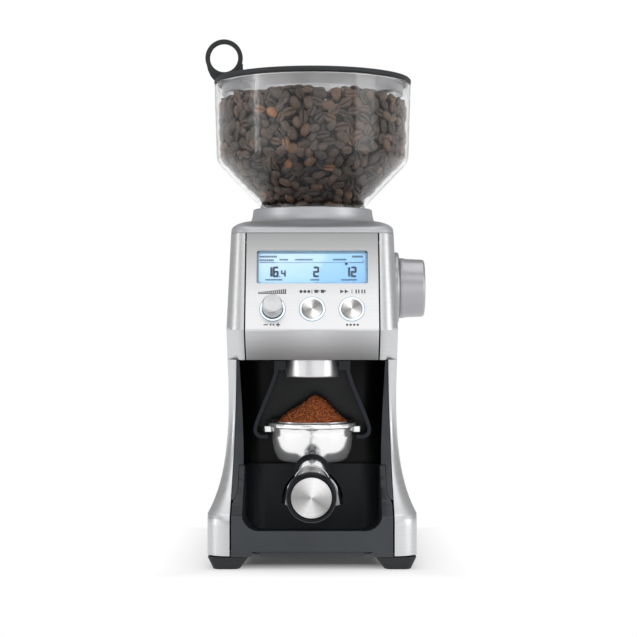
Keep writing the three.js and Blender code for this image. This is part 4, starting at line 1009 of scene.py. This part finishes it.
def tray_box():
    shoulder = arc(BASE_FRONT_Y + 2, 35.5, 2, 180, 90, 6)
    front = bay_curve(0.6, 39, TRAY_FRONT_RIM_Z, 14)
    side = [(BASE_FRONT_Y, 12.6), *shoulder, *front, (TRAY_BACK_Y, TRAY_RIM_Z), (TRAY_BACK_Y, 12.6)]
    whole = prism(side, -TRAY_HALF, TRAY_HALF, "x")
    lower = prism(rounded_box(-TRAY_HALF, TRAY_HALF, -60, 80, 1), 0, TRAY_STEP_Z)
    middle = prism(rounded_box(-TRAY_HALF, TRAY_HALF, -90, TRAY_BACK_Y, 18, 14), TRAY_STEP_Z - 1, LINER_LOW_Z)
    upper = prism(
        rounded_box(-TRAY_UPPER_HALF, TRAY_UPPER_HALF, -90, TRAY_BACK_Y, 18, 14), LINER_LOW_Z - 1, 80
    )
    arch = smooth_line(
        [(-44, 8.9), (-42.3, 9.6), (-40, 11.4), (-37, 12.6), (37, 12.6), (40, 11.4), (42.3, 9.6), (44, 8.9)],
        3
    )
    skirt = prism(
        [(-TRAY_HALF, 8.9), *arch, (TRAY_HALF, 8.9), (TRAY_HALF, 20), (-TRAY_HALF, 20)], -48, -35, "y"
    )
    scoop = prism(
        rounded_box(-TRAY_INNER_HALF, TRAY_INNER_HALF, 15.5, 120, 14, 12), -45, TRAY_BACK_Y - 3, "y"
    )
    plan = prism(rounded_box(-TRAY_INNER_HALF, TRAY_INNER_HALF, -90, TRAY_BACK_Y - 3, 14, 12), 0, 130)
    mouth = prism(rounded_box(-TRAY_INNER_HALF, TRAY_INNER_HALF, 27, 120, 12, 12), -70, -30, "y")
    walls = join(common(whole, join(lower, middle, upper), tray_sides(0, 80)), skirt)
    return cut(walls, common(scoop, plan), mouth)


piece("tray_drawer", tray_box(), charcoal, "grinds_tray", ["grinds_tray"], 0.6, 45)


# ------------------------------------------------------------------ hopper, beans and lid
def hopper_glass():
    outer = [
        (0, 222), (36, 222), (36, 246), (39.6, 246), (39.6, 259.8), (40.2, 261.6), (70.6, 293.2),
        (72.4, 295.6),
        (73.3, 299), (75, 353.9), (74.4, 354.6), (73.6, 354.6), (73, 353.9), (71.4, 299.6), (70.7, 297.2),
        (69.4, 295.2), (38.4, 263), (37.6, 261.2), (37.6, 249), (34, 246), (34, 224), (0, 224),
    ]
    stem = disc(5.4, 200, 240, 32)
    feeds = []
    for turn in (0, 180):
        outline = arc(0, 0, 30, turn - 34, turn + 34, 16) + arc(0, 0, 11, turn + 34, turn - 34, 16)
        feeds.append(prism(outline, 200, 240))
    return cut(lathe(outer, 160), stem, *feeds)


glass = piece("hopper_glass", hopper_glass(), clear, "hopper", ["hopper"], 0, 30, HOPPER)
glass.visible_shadow = False


def bean(size, turn_open):
    """One bean: domed on one side, nearly flat with a crease along it on the other."""
    sections = [-1, -0.95, -0.82, -0.62, -0.35, 0, 0.35, 0.62, 0.82, 0.95, 1]
    turns = [-90, -82, -70, -48, -20, 15, 50, 90, 130, 165, 200, 228, 250, 262]
    rows = []
    half_long, half_wide, half_thick = (half * size for half in BEAN_HALVES)
    for x in sections:
        reach = math.sqrt(max(0, 1 - x * x)) ** 0.85
        row = []
        for turn in turns:
            y = reach * math.cos(math.radians(turn))
            z = reach * math.sin(math.radians(turn))
            if z < 0:
                z *= 0.6
                z += 0.62 * reach * math.exp(-(y / (0.17 + 0.04 * turn_open)) ** 2)
            row.append(Vector((half_long * x, half_wide * (y + 0.05 * math.sin(3 * x)), half_thick * z)))
        rows.append(row)
    return rows


def bean_piece(name, places, chance):
    shape = bmesh.new()
    for centre, outward in places:
        model = bean(chance.uniform(0.86, 1.1), chance.random())
        tilt = Vector((chance.uniform(-1, 1), chance.uniform(-1, 1), chance.uniform(-1, 1))) * BEAN_TILT
        up = (outward + tilt).normalized()
        if chance.random() < FACE_DOWN_SHARE:
            up = -up
        spin = chance.uniform(0, 2 * math.pi)
        base = up.orthogonal().normalized()
        side = up.cross(base)
        along = base * math.cos(spin) + side * math.sin(spin)
        across = up.cross(along)
        turn = Matrix((along, across, up)).transposed()
        rows = [[shape.verts.new(centre + turn @ p) for p in row] for row in model[1:-1]]
        tips = [shape.verts.new(centre + turn @ model[k][0]) for k in (0, -1)]
        for low, high in zip(rows, rows[1:]):
            band(shape, low, high)
        for tip, row in zip(tips, (rows[0], rows[-1])):
            for k in range(len(row)):
                shape.faces.new((tip, row[k], row[(k + 1) % len(row)]))
    return piece(name, shape, roasted, "hopper", (), 0, 80, HOPPER)


def bean_places(chance):
    """Centres spread over the inside of the hopper, its cone and the top of the heap, in two layers."""
    found = []
    cells = {}

    def keep(point, outward, reach):
        key = tuple(int(v // 8) for v in point)
        for dx in (-1, 0, 1):
            for dy in (-1, 0, 1):
                for dz in (-1, 0, 1):
                    for other in cells.get((key[0] + dx, key[1] + dy, key[2] + dz), ()):
                        if (other - point).length < reach:
                            return
        cells.setdefault(key, []).append(point)
        found.append((point, outward))

    def heap(radius, turn):
        lumps = noise.noise(Vector((radius * 0.045 * math.cos(turn), radius * 0.045 * math.sin(turn), 3.7)))
        return HEAP_RIM_Z + 2.5 * lumps + 4 * (1 - (radius / 68) ** 2)

    for depth, reach, tries in BEAN_LAYERS:
        for _ in range(tries):
            turn = chance.uniform(0, 2 * math.pi)
            ring = Vector((math.cos(turn), math.sin(turn), 0))
            place = chance.random()
            if place < WALL_SHARE:
                z = chance.uniform(299, 340)
                if z > heap(67, turn):
                    continue
                keep(ring * (between(71.4, 72.7, (z - 298) / 56) - depth) + Vector((0, 0, z)), ring, reach)
            elif place < CONE_SHARE:
                share = math.sqrt(chance.uniform(0.27, 1))
                z = between(252, 297, (share - 0.52) / 0.48)
                outward = (ring * 0.72 - Vector((0, 0, 0.69))).normalized()
                wall = max(between(38.4, 70, (z - 263) / 33), 37.4)
                if z < 262:
                    outward = ring
                keep(ring * wall + Vector((0, 0, z)) - outward * depth, outward, reach)
            else:
                radius = 67 * math.sqrt(chance.random())
                z = heap(radius, turn) + chance.uniform(-1.5, 2.5) - (depth - 4)
                if radius > UNDER_LID_RADIUS:
                    z = min(z, UNDER_LID_Z)
                keep(ring * radius + Vector((0, 0, z)), Vector((0, 0, 1)), reach)
    return found


chance = random.Random(7)
placed = bean_places(chance)
share = math.ceil(len(placed) / 4)
for part in range(4):
    bean_piece(f"beans_{part + 1}", placed[part * share:(part + 1) * share], chance)

# Solid inside the beans in the painted-shadow material, so the gaps between beans show painted shadow.
core_profile = [
    (18.5, 250), (33, 250), (33.4, 262), (62, 293), (63.5, 334), (40, 338), (0, 340), (0, 288), (18.5, 288),
    (18.5, 250),
]
piece("beans_shadow_core", lathe(core_profile, 72), painted_bean_shadow, "hopper", (), 0, 60, HOPPER)

lid_profile = [
    (0, 355.6), (66.2, 355.6), (67.2, 354.6), (67.2, 346.5), (67.7, 346), (68.9, 346), (69.4, 346.5),
    (69.4, 358), (60, 358), (58.5, 357.4), (0, 357.4),
]
lid = piece(
    "lid_window", lathe(lid_profile, 144), lid_clear, "lid", ["lid_disc"], 0, 40, HOPPER
)
lid.visible_shadow = False


def seal_web():
    """Foot of the finger ring: fills between the ring and the rim, tangent to the ring on both sides."""
    left = [(-81.2, 370.5), (-80.2, 366), (-78.2, 361.6), (-75, 358.0), (-74.2, 357.6)]
    right = [(-49.5, 358.45), (-52, 361), (-53.4, 366), (-53.6, 371)]
    hole = arc(RING_X, RING_Z, 12.4, -18, -162, 20)
    return prism(left + [(-70, 357.6), (-69.8, 358.45)] + right + hole, -2.2, 2.2, "y")


def finger_ring():
    rings = []
    for t in [2 * math.pi * k / 72 for k in range(72)]:
        section = rounded_box(10.8, 14.3, -2.6, 2.6, 1.1, 4)
        rings.append([(RING_X + r * math.cos(t), y, RING_Z + r * math.sin(t)) for r, y in section])
    return loft(rings, closed_track=True)


def seal_band():
    return lathe([
        (70.1, 354.9), (74.5, 354.9), (75.3, 355.7), (75.3, 357.4), (74.3, 358.5),
        (70.1, 358.5), (70.1, 354.9),
    ], 144)


piece(
    "lid_rim", join(seal_band(), finger_ring(), seal_web()), dark_rubber, "lid", ["lid_seal"],
    0.2, 50, HOPPER
)


# ------------------------------------------------------------------ control panel
def control(index):
    return PANEL @ at((index - 1) * CONTROL_SPACING, CONTROL_V, 0)


halo_profile = [
    (7.5, -4), (HALO_RADIUS, -4), (HALO_RADIUS, 0.1), (8.8, 0.4), (8.3, 0.62), (7.9, 0.5), (7.6, 0.2),
    (7.5, -0.1), (7.5, -4),
]
button_profile = [
    (0, -6), (3, -6), (3, -3), (BUTTON_RADIUS, -3), (BUTTON_RADIUS, 1.2), (7.05, 1.6), (6.6, 1.85),
    (6.1, 1.8), (4, 1.45), (1.2, 1.25), (0, 1.25),
]
knob_profile = [
    (0, 9.5), (3.3, 9.5), (3.3, 0.8), (6.9, 0.8), (KNOB_RADIUS, 1), (KNOB_RADIUS, 10.9), (6.8, 11.6),
    (6.3, 11.95), (5.7, KNOB_HEIGHT), (3.5, 11.8), (0, 11.75),
]
for index, name in enumerate(("amount", "shots", "start")):
    piece(
        f"{name}_light", lathe(halo_profile, 96), halo_light, "base", [f"{name}_halo"], 0, 50,
        control(index)
    )
    rim = lathe(
        [(HALO_RADIUS, -0.5), (9.28, -0.5), (9.28, 0.12), (HALO_RADIUS, 0.12), (HALO_RADIUS, -0.5)], 96
    )
    piece(f"{name}_rim", rim, display_edge, "base", (), 0, 50, control(index))
for index, name in ((1, "shots"), (2, "start")):
    piece(
        f"{name}_cap", lathe(button_profile, 96), button_steel, f"{name}_button",
        [f"{name}_button"], 0, 50, control(index),
    )
piece(
    "amount_cap", lathe(knob_profile, 96), knob_silver, "amount_knob", ["amount_knob"], 0, 40,
    control(0)
)

panel_plate = prism(rounded_box(-38.8, 38.8, WINDOW_LOW + 0.8, WINDOW_HIGH - 0.8, 1.5), -9, -2.6)
piece("display_panel", panel_plate, display_blue, "base", ["lcd_module"], 0.2, 50, PANEL)
bezel = cut(
    prism(rounded_box(-39.4, 39.4, WINDOW_LOW + 0.3, WINDOW_HIGH - 0.3, 2), -2.58, -2.3),
    prism(rounded_box(-38.3, 38.3, WINDOW_LOW + 1.5, WINDOW_HIGH - 1.5, 1.8), -4, 0),
)
piece("display_bezel", bezel, display_edge, "base", (), 0, 50, PANEL)
window_plate = prism(rounded_box(-39.5, 39.5, WINDOW_LOW + 0.3, WINDOW_HIGH - 0.3, 1.2), -2.2, 0.2)
screen = piece(
    "display_window", window_plate, screen_clear, "base", ["lcd_window"], 0.3, 50, PANEL
)
screen.visible_shadow = False

SEGMENTS = {
    "a": ((0.12, 1), (0.88, 1)), "b": ((1, 0.92), (1, 0.54)), "c": ((1, 0.46), (1, 0.08)),
    "d": ((0.12, 0), (0.88, 0)),
    "e": ((0, 0.46), (0, 0.08)), "f": ((0, 0.92), (0, 0.54)), "g": ((0.14, 0.5), (0.86, 0.5)),
}
DIGITS = {"1": "bc", "2": "abged", "4": "fgbc", "6": "afgedc"}


def bar(x_low, x_high, y_low, y_high):
    corner = min(x_high - x_low, y_high - y_low) * 0.3
    return prism(rounded_box(x_low, x_high, y_low, y_high, corner, 3), INK_LOW, INK_HIGH)


def digit(symbol, x, y, width, height, stroke):
    strokes = []
    for key in DIGITS[symbol]:
        (x0, y0), (x1, y1) = SEGMENTS[key]
        left, right = x + min(x0, x1) * width, x + max(x0, x1) * width
        low, high = y + min(y0, y1) * height, y + max(y0, y1) * height
        half = stroke / 2
        strokes.append(bar(left - half, right + half, low - half, high + half))
    return strokes


marks = []
for symbol, x, y, width, height, stroke in (
    ("1", -32.4, 41.9, 3.0, 6.8, 1.6), ("6", -27.7, 41.9, 2.8, 6.8, 1.5), ("4", -21.9, 41.7, 2.3, 4.6, 1.05),
    ("2", 1.3, 41.9, 3.0, 6.8, 1.45), ("1", 23.5, 41.9, 3.0, 6.8, 1.5), ("2", 28.4, 41.9, 2.8, 6.8, 1.45),
):
    marks += digit(symbol, x, y, width, height, stroke)
marks.append(bar(-23.8, -23.0, 41.1, 41.9))
marks.append(bar(23.5, 25.6, 50.6, 52.6))
piece("display_marks", merged(*marks), digit_ink, "base", (), 0, 50, PANEL)

captions = []
for x_low, x_high, y_low, height in (
    (-33.6, -21.4, 38.6, 1.1), (-1.2, 5.3, 38.6, 1.1), (20.9, 32.3, 38.6, 1.1), (-38, -25.2, 56.4, 1.5),
    (-38, -27.4, 53.6, 1.5), (-23.6, -17.2, 54.2, 1.2), (-12.2, 0.6, 54.2, 1.2), (14.9, 24.9, 54.2, 1.3),
    (28.8, 36.8, 56.4, 1.6),
):
    pitch = 1.25
    count = round((x_high - x_low) / pitch)
    for x in steps(x_low, x_high, count)[:-1]:
        captions.append(bar(x, x + pitch * 0.74, y_low, y_low + height))
captions += [bar(x, x + 1.1, 52.3, 52.75) for x in steps(-26.4, 33.6, 32)]
captions += [bar(-38, -26.6, 52.3, 52.75), bar(26.4, 36.9, 52.3, 52.75), bar(36.5, 36.9, 52.3, 54.8)]
piece("display_captions", merged(*captions), caption_ink, "base", (), 0, 50, PANEL)


def legend(name, shapes):
    piece(name, merged(*shapes), legend_grey, "base", (), 0, 50, PANEL)


def stamp(outline):
    return prism(outline, STAMP_LOW, STAMP_HIGH)


def block(x, y, width, height):
    corner = min(width, height) * 0.25
    return stamp(rounded_box(x - width / 2, x + width / 2, y - height / 2, y + height / 2, corner, 3))


def dot(x, y, radius):
    return stamp(arc(x, y, radius, 0, 360, 20)[:-1])


def cup(x, y):
    """Small cup seen from the side, with its handle."""
    handle = [
        block(x + 1.75, y + 0.75, 0.9, 0.35), block(x + 2.1, y + 0.25, 0.35, 1.2),
        block(x + 1.6, y - 0.2, 0.9, 0.35)
    ]
    return [stamp([(x - 1.5, y + 1.3), (x - 1.1, y - 1.1), (x + 1.1, y - 1.1), (x + 1.5, y + 1.3)]), *handle]


left_x, right_x = -CONTROL_SPACING - 0.4, CONTROL_SPACING + 0.4
LABEL_V = 29.3
LOWER_LABEL_V = 3.9
amount_bars = [
    block(left_x - 9.4 + 1.45 * k, LABEL_V - 0.9 + 0.09 * k, 0.95, 1.0 + 0.18 * k) for k in range(14)
]
legend("legend_amount", [*amount_bars, block(left_x, LABEL_V - 1.65, 20.2, 0.4)])
shots = [dot(x, LABEL_V, 1.15) for x in (-8, -5.2, -2.4)]
legend("legend_shots", [*shots, block(-0.2, LABEL_V, 0.45, 3.3), *cup(2.8, LABEL_V), *cup(7.4, LABEL_V)])
play = [
    stamp([(x, LABEL_V - 1.5), (x + 2.7, LABEL_V), (x, LABEL_V + 1.5)])
    for x in (right_x - 8.6, right_x - 5.4)
]
pause = [block(right_x + x, LABEL_V, 0.95, 3) for x in (2.8, 4.7, 7, 8.9)]
legend("legend_start", [*play, block(right_x - 0.2, LABEL_V, 0.45, 3.3), *pause])
less_more = [block(left_x - 4.4, LOWER_LABEL_V, 3.1, 0.8), block(left_x + 4.4, LOWER_LABEL_V, 3.1, 0.8)]
less_more.append(block(left_x + 4.4, LOWER_LABEL_V, 0.8, 2.8))
legend(
    "legend_less",
    [*less_more, dot(left_x - 0.9, LOWER_LABEL_V, 0.65), dot(left_x + 1.2, LOWER_LABEL_V, 0.65)]
)
legend("legend_hold", [dot(right_x + x, LOWER_LABEL_V, 0.85) for x in (-3.8, -1.3, 1.2, 3.7)])

# ------------------------------------------------------------------ dial
dial_profile = [
    (0, 66), (22.6, 66), (23.1, 66.6), (23.0, 69), (22.4, 71), (21.9, 83.2), (21.5, 84.5), (20.4, 85.2),
    (18, 85.3), (12, 85.75), (0, 86),
]
piece(
    "dial_cap", lathe(dial_profile, 144), dial_silver, "grind_dial", ["dial_knob"], 0, 45,
    DIAL
)
plate_profile = [
    (4.4, 56), (19.4, 56), (19.4, 61.8), (26.9, 61.8), (27.5, 62.4), (27.5, 64), (27.2, 65), (26.4, 65.6),
    (25.2, 65.4), (23.6, 64.6), (20, 64.4), (4.4, 64.4), (4.4, 56),
]
piece(
    "dial_plate", lathe(plate_profile, 144), plate_silver, "base", ["dial_escutcheon"], 0, 40,
    DIAL
)
pointer = prism(rounded_box(-17.6, -12.2, -0.35, 0.35, 0.3, 4), 85.2, 85.95)
piece("dial_pointer", pointer, legend_grey, "grind_dial", (), 0, 50, DIAL)


# ------------------------------------------------------------------ portafilter
def bowl_neck():
    """Leaves the bowl's wall as an upright oval and drops to the round back end of the handle."""
    start = 42.5
    end = (-start * math.cos(HANDLE_SLOPE), HANDLE_ROOT_Z - start * math.sin(HANDLE_SLOPE), 9.6, 9.6)
    route = smooth_line([(-24, 77, 5.8), (-31, 75.4, 6.6), (-37, 71.6, 8), end[:3]], 5)
    rings = []
    for index, (y, z, half_wide) in enumerate(route):
        half_high = between(9.5, 9.6, index / (len(route) - 1))
        lean = HANDLE_SLOPE if index == len(route) - 1 else 0
        turns = steps(0, 2 * math.pi, 48)[:-1]
        rings.append([
            (
                half_wide * math.cos(t), y - half_high * math.sin(t) * math.sin(lean),
                z + half_high * math.sin(t)
            ) for t in turns
        ])
    return loft(rings)


def chrome_bowl():
    outline = [(21, 71.6), (24.4, 73), (26.6, 76.4), (28.4, 81.4), (29.5, 89), (29.7, 94)]
    outside = [
        (0, 71.6), *smooth_line(outline, 4), (30.4, 96.2), (31, 96.8), (32.2, 96.8), (32.6, 97.2),
        (32.6, 99.2),
        (32.2, 99.8), (31.6, 100),
    ]
    inside = [(31, 100), (29.8, 98.6), (28, 94), (25, 77.6), (23.4, 74.8), (20, 74), (0, 74)]
    body = lathe(outside + inside, 144)
    lug = prism(rounded_box(29.3, 35.6, -7, 7, 1.6, 5), 93.3, 97.3)
    other = mirrored(prism(rounded_box(29.3, 35.6, -7, 7, 1.6, 5), 93.3, 97.3))
    return cut(join(body, lug, other), disc(4, 60, 76, 48))


piece(
    "portafilter_bowl", chrome_bowl(), bowl_chrome, "portafilter", ["portafilter_body"], 0.3, 45,
    OUTLET
)

neck = cut(bowl_neck(), disc(27.4, 60, 99, 96))
piece("bowl_neck", neck, dark_chrome, "portafilter", (), 0, 50, OUTLET)

basket_profile = [
    (0, 75.2), (21, 75.2), (23.2, 76.2), (24.2, 77.8), (26, 94), (27.2, 97), (29, 98.6), (30.4, 100.1),
    (30.8, 100.6),
    (30.6, 101.2), (29.2, 101.2), (27.8, 100), (25.6, 96), (25.2, 94.4), (23.4, 78.4), (22, 76.8),
    (20.6, 76.2), (0, 76.2),
]
piece(
    "basket_cup", lathe(basket_profile, 120), basket_steel, "portafilter",
    ["filter_basket"], 0, 45, OUTLET
)


def spout_pair():
    boss = lathe(
        [(0, 56), (7.9, 56), (8.5, 56.6), (8.5, 65.4), (10, 66.4), (10.5, 67), (10.5, 71.3), (0, 71.3)], 72
    )
    arms = []
    for side in (1, -1):
        route = smooth_line(
            [
                (0, 0, 61), (side * 5, 0, 60), (side * 10.4, 0, 57), (side * 15.6, 0, 50.5),
                (side * 18.5, 0, 39.6)
            ],
            6
        )
        arms.append(tube(route, 5.2, 40))
    groove = prism(rounded_box(-24, 24, 28, 45.4, 0.5), -2.6, 2.6, "y")
    return cut(join(boss, *arms), disc(3.6, 60, 80, 32), groove)


piece("spout_pair", spout_pair(), dark_chrome, "portafilter", ["twin_spout"], 0.35, 45, OUTLET)

sleeve_profile = [
    (0, 46.4), (10.4, 46.4), (10.7, 47), (12.6, SLEEVE_END - 1), (12.4, SLEEVE_END - 0.3), (11.8, SLEEVE_END),
    (0, SLEEVE_END),
]
piece(
    "handle_sleeve", lathe(sleeve_profile, 96), polished, "portafilter", ["handle_ferrule"], 0,
    40, HANDLE
)
ring_profile = [
    (0, 42.8), (12.1, 42.8), (12.7, 43.1), (12.9, 43.7), (12.9, 45.3), (12.6, 46), (11.8, 46.3), (0, 46.3)
]
piece("handle_ring", lathe(ring_profile, 96), gloss_black, "portafilter", (), 0, 40, HANDLE)
bulge = [
    (12.2, SLEEVE_END + 1), (12.6, 112), (13.3, 122), (14.6, 138), (15.7, 152), (16.1, 160),
    (16.1, HANDLE_END - 4)
]
end_round = arc(14.3, HANDLE_END - 1.9, 1.8, 10, 90, 8)
grip_profile = [
    (0, SLEEVE_END + 0.3), (11.6, SLEEVE_END + 0.3), *smooth_line(bulge, 4), *end_round,
    (13.6, HANDLE_END - 0.3),
    (13.4, HANDLE_END - 0.6), (13.4, HANDLE_END - 2.4), (0, HANDLE_END - 2.4),
]
piece(
    "handle_body", lathe(grip_profile, 96), gloss_black, "portafilter", ["handle_grip"], 0,
    40, HANDLE
)
cap_profile = [
    (0, HANDLE_END - 2.1), (13.1, HANDLE_END - 2.1), (13.1, HANDLE_END - 0.6), (12.9, HANDLE_END - 0.1),
    (12.5, HANDLE_END),
    (12.1, HANDLE_END - 0.15), (11.8, HANDLE_END - 0.3), (0, HANDLE_END - 0.1),
]
piece(
    "handle_badge", lathe(cap_profile, 96), cap_steel, "portafilter", ["handle_cap"], 0,
    40, HANDLE
)


def coffee_heap():
    shape = bmesh.new()
    rows = []
    for r in steps(0, GROUNDS_RADIUS, 44):
        share = r / GROUNDS_RADIUS
        height = GROUNDS_RIM_Z + GROUNDS_HEIGHT * (1 - share**1.08)
        row = []
        for k in range(GROUNDS_SIDES):
            t = 2 * math.pi * k / GROUNDS_SIDES
            x, y = r * math.cos(t), r * math.sin(t)
            coarse = noise.noise(Vector((x * 0.12, y * 0.12, 1.3)))
            fine = noise.noise(Vector((x * 0.55, y * 0.55, 5.1)))
            lift = (1.6 * coarse + 0.9 * fine) * min(1, (1 - share) * 6)
            lean = 3 * (1 - share)
            row.append(shape.verts.new((x + lean, y, height + lift)))
        rows.append(row)
    for low, high in zip(rows, rows[1:]):
        band(shape, low, high)
    base = [shape.verts.new((v.co.x * 0.93, v.co.y * 0.93, 97.4)) for v in rows[-1]]
    band(shape, rows[-1], base)
    shape.faces.new(base)
    return shape


piece("coffee_heap", coffee_heap(), grounds, "portafilter", (), 0, 70, OUTLET)

# ------------------------------------------------------------------ CAD nodes that stay as they are
KEPT = {
    "base_pan": charcoal, "cable_gland": satin_black, "rear_screw_left": machined,
    "rear_screw_right": machined,
    "hopper_gate": satin_black, "hopper_lock_knob": cover_silver, "control_board": board_green,
    "amount_shaft": machined,
    "dial_shaft": nylon, "adjust_ring": nylon, "burr_holder": satin_black, "ring_burr": machined,
    "cone_burr": machined,
    "burr_nut": machined, "burr_shaft": machined, "impeller": nylon, "grind_chamber": satin_black,
    "outlet_chute": liner_black, "gear_case": charcoal, "gear_cover": charcoal, "drive_gear": nylon,
    "motor_pinion": machined, "motor": machined, "bearing_lower": machined, "bearing_upper": machined,
    "power_board": board_green,
}
for name, finish in KEPT.items():
    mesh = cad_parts[name].data
    mesh.materials.clear()
    mesh.materials.append(finish)


# ------------------------------------------------------------------ stage
def floor_surface():
    """Pale floor that turns into plain white light away from the object's base."""
    finish = Finish("floor", Roughness=0.6, Specular_IOR_Level=0.2)
    finish.feed(
        "Base Color", finish.ramp(finish.noise(3, 2.0), (0.3, (0.9, 0.9, 0.905)), (0.7, (0.93, 0.93, 0.93)))
    )
    parts = finish.node("SeparateXYZ", {0: finish.place()})
    base_middle = (BASE_FRONT_Y + BASE_BACK_Y) / 2 * MM
    base_reach = (BASE_BACK_Y - BASE_FRONT_Y) / 2 * MM
    from_middle = finish.math("ABSOLUTE", finish.math("SUBTRACT", parts.outputs[1], base_middle))
    past_side = finish.math("SUBTRACT", finish.math("ABSOLUTE", parts.outputs[0]), BASE_HALF * MM)
    past_front = finish.math("SUBTRACT", from_middle, base_reach)
    outside = finish.math("MAXIMUM", past_side, past_front)
    white = finish.node("Emission", {"Color": (1, 1, 1, 1), "Strength": 1.0})
    output = next(n for n in finish.tree.nodes if n.type == "OUTPUT_MATERIAL")
    blend = finish.node("MixShader", {0: finish.spread(outside, 0.05, 1.0, -0.03, 0.035)})
    finish.tree.links.new(finish.shader.outputs[0], blend.inputs[1])
    finish.tree.links.new(white.outputs[0], blend.inputs[2])
    finish.tree.links.new(blend.outputs[0], output.inputs["Surface"])
    return finish.material


floor_mesh = bpy.data.meshes.new("floor")
floor_mesh.from_pydata([(-8, -8, 0), (8, -8, 0), (8, 8, 0), (-8, 8, 0)], [], [(0, 1, 2, 3)])
floor_mesh.materials.append(floor_surface())
floor = bpy.data.objects.new("floor", floor_mesh)
bpy.context.scene.collection.objects.link(floor)


AIM = (0, 0, 0.18)
SEEN_LEVEL = 1.0  # world's brightness to the camera and through clear plastic
LIGHT_LEVEL = 0.42  # world's brightness as light and in reflections


def softbox(name, place, width, height, radiance):
    data = bpy.data.lights.new(name, "AREA")
    data.shape = "RECTANGLE"
    data.size = width
    data.size_y = height
    data.energy = radiance * math.pi * width * height
    light = bpy.data.objects.new(name, data)
    light.location = place
    light.rotation_euler = (Vector(AIM) - Vector(place)).to_track_quat("-Z", "Y").to_euler()
    light.visible_camera = False
    bpy.context.scene.collection.objects.link(light)


softbox("top_light", (0, 0.1, 1.7), 1.7, 1.5, 1.3)
softbox("front_light", (0, -1.35, 1.45), 1.5, 0.7, 1.3)
softbox("left_strip", (-1.15, -0.42, 0.4), 0.16, 1.2, 5.0)
softbox("right_box", (1.1, -0.5, 0.4), 0.55, 1.2, 2.4)
softbox("right_card", (0.62, -1.55, 0.35), 1.5, 0.9, 0.75)
softbox("left_card", (-1.15, -1.1, 0.35), 1.1, 0.9, 0.75)

world = bpy.data.worlds.new("studio")
bpy.context.scene.world = world
world.use_nodes = True
tree = world.node_tree
tree.nodes.clear()
out = tree.nodes.new("ShaderNodeOutputWorld")
back = tree.nodes.new("ShaderNodeBackground")
paths = tree.nodes.new("ShaderNodeLightPath")
seen = tree.nodes.new("ShaderNodeMath")
seen.operation = "MAXIMUM"
tree.links.new(paths.outputs["Is Camera Ray"], seen.inputs[0])
tree.links.new(paths.outputs["Is Transmission Ray"], seen.inputs[1])
level = tree.nodes.new("ShaderNodeMapRange")
level.inputs["To Min"].default_value = LIGHT_LEVEL
level.inputs["To Max"].default_value = SEEN_LEVEL
tree.links.new(seen.outputs[0], level.inputs["Value"])
tree.links.new(level.outputs[0], back.inputs["Strength"])
back.inputs["Color"].default_value = (1, 1, 1, 1)
tree.links.new(back.outputs[0], out.inputs["Surface"])
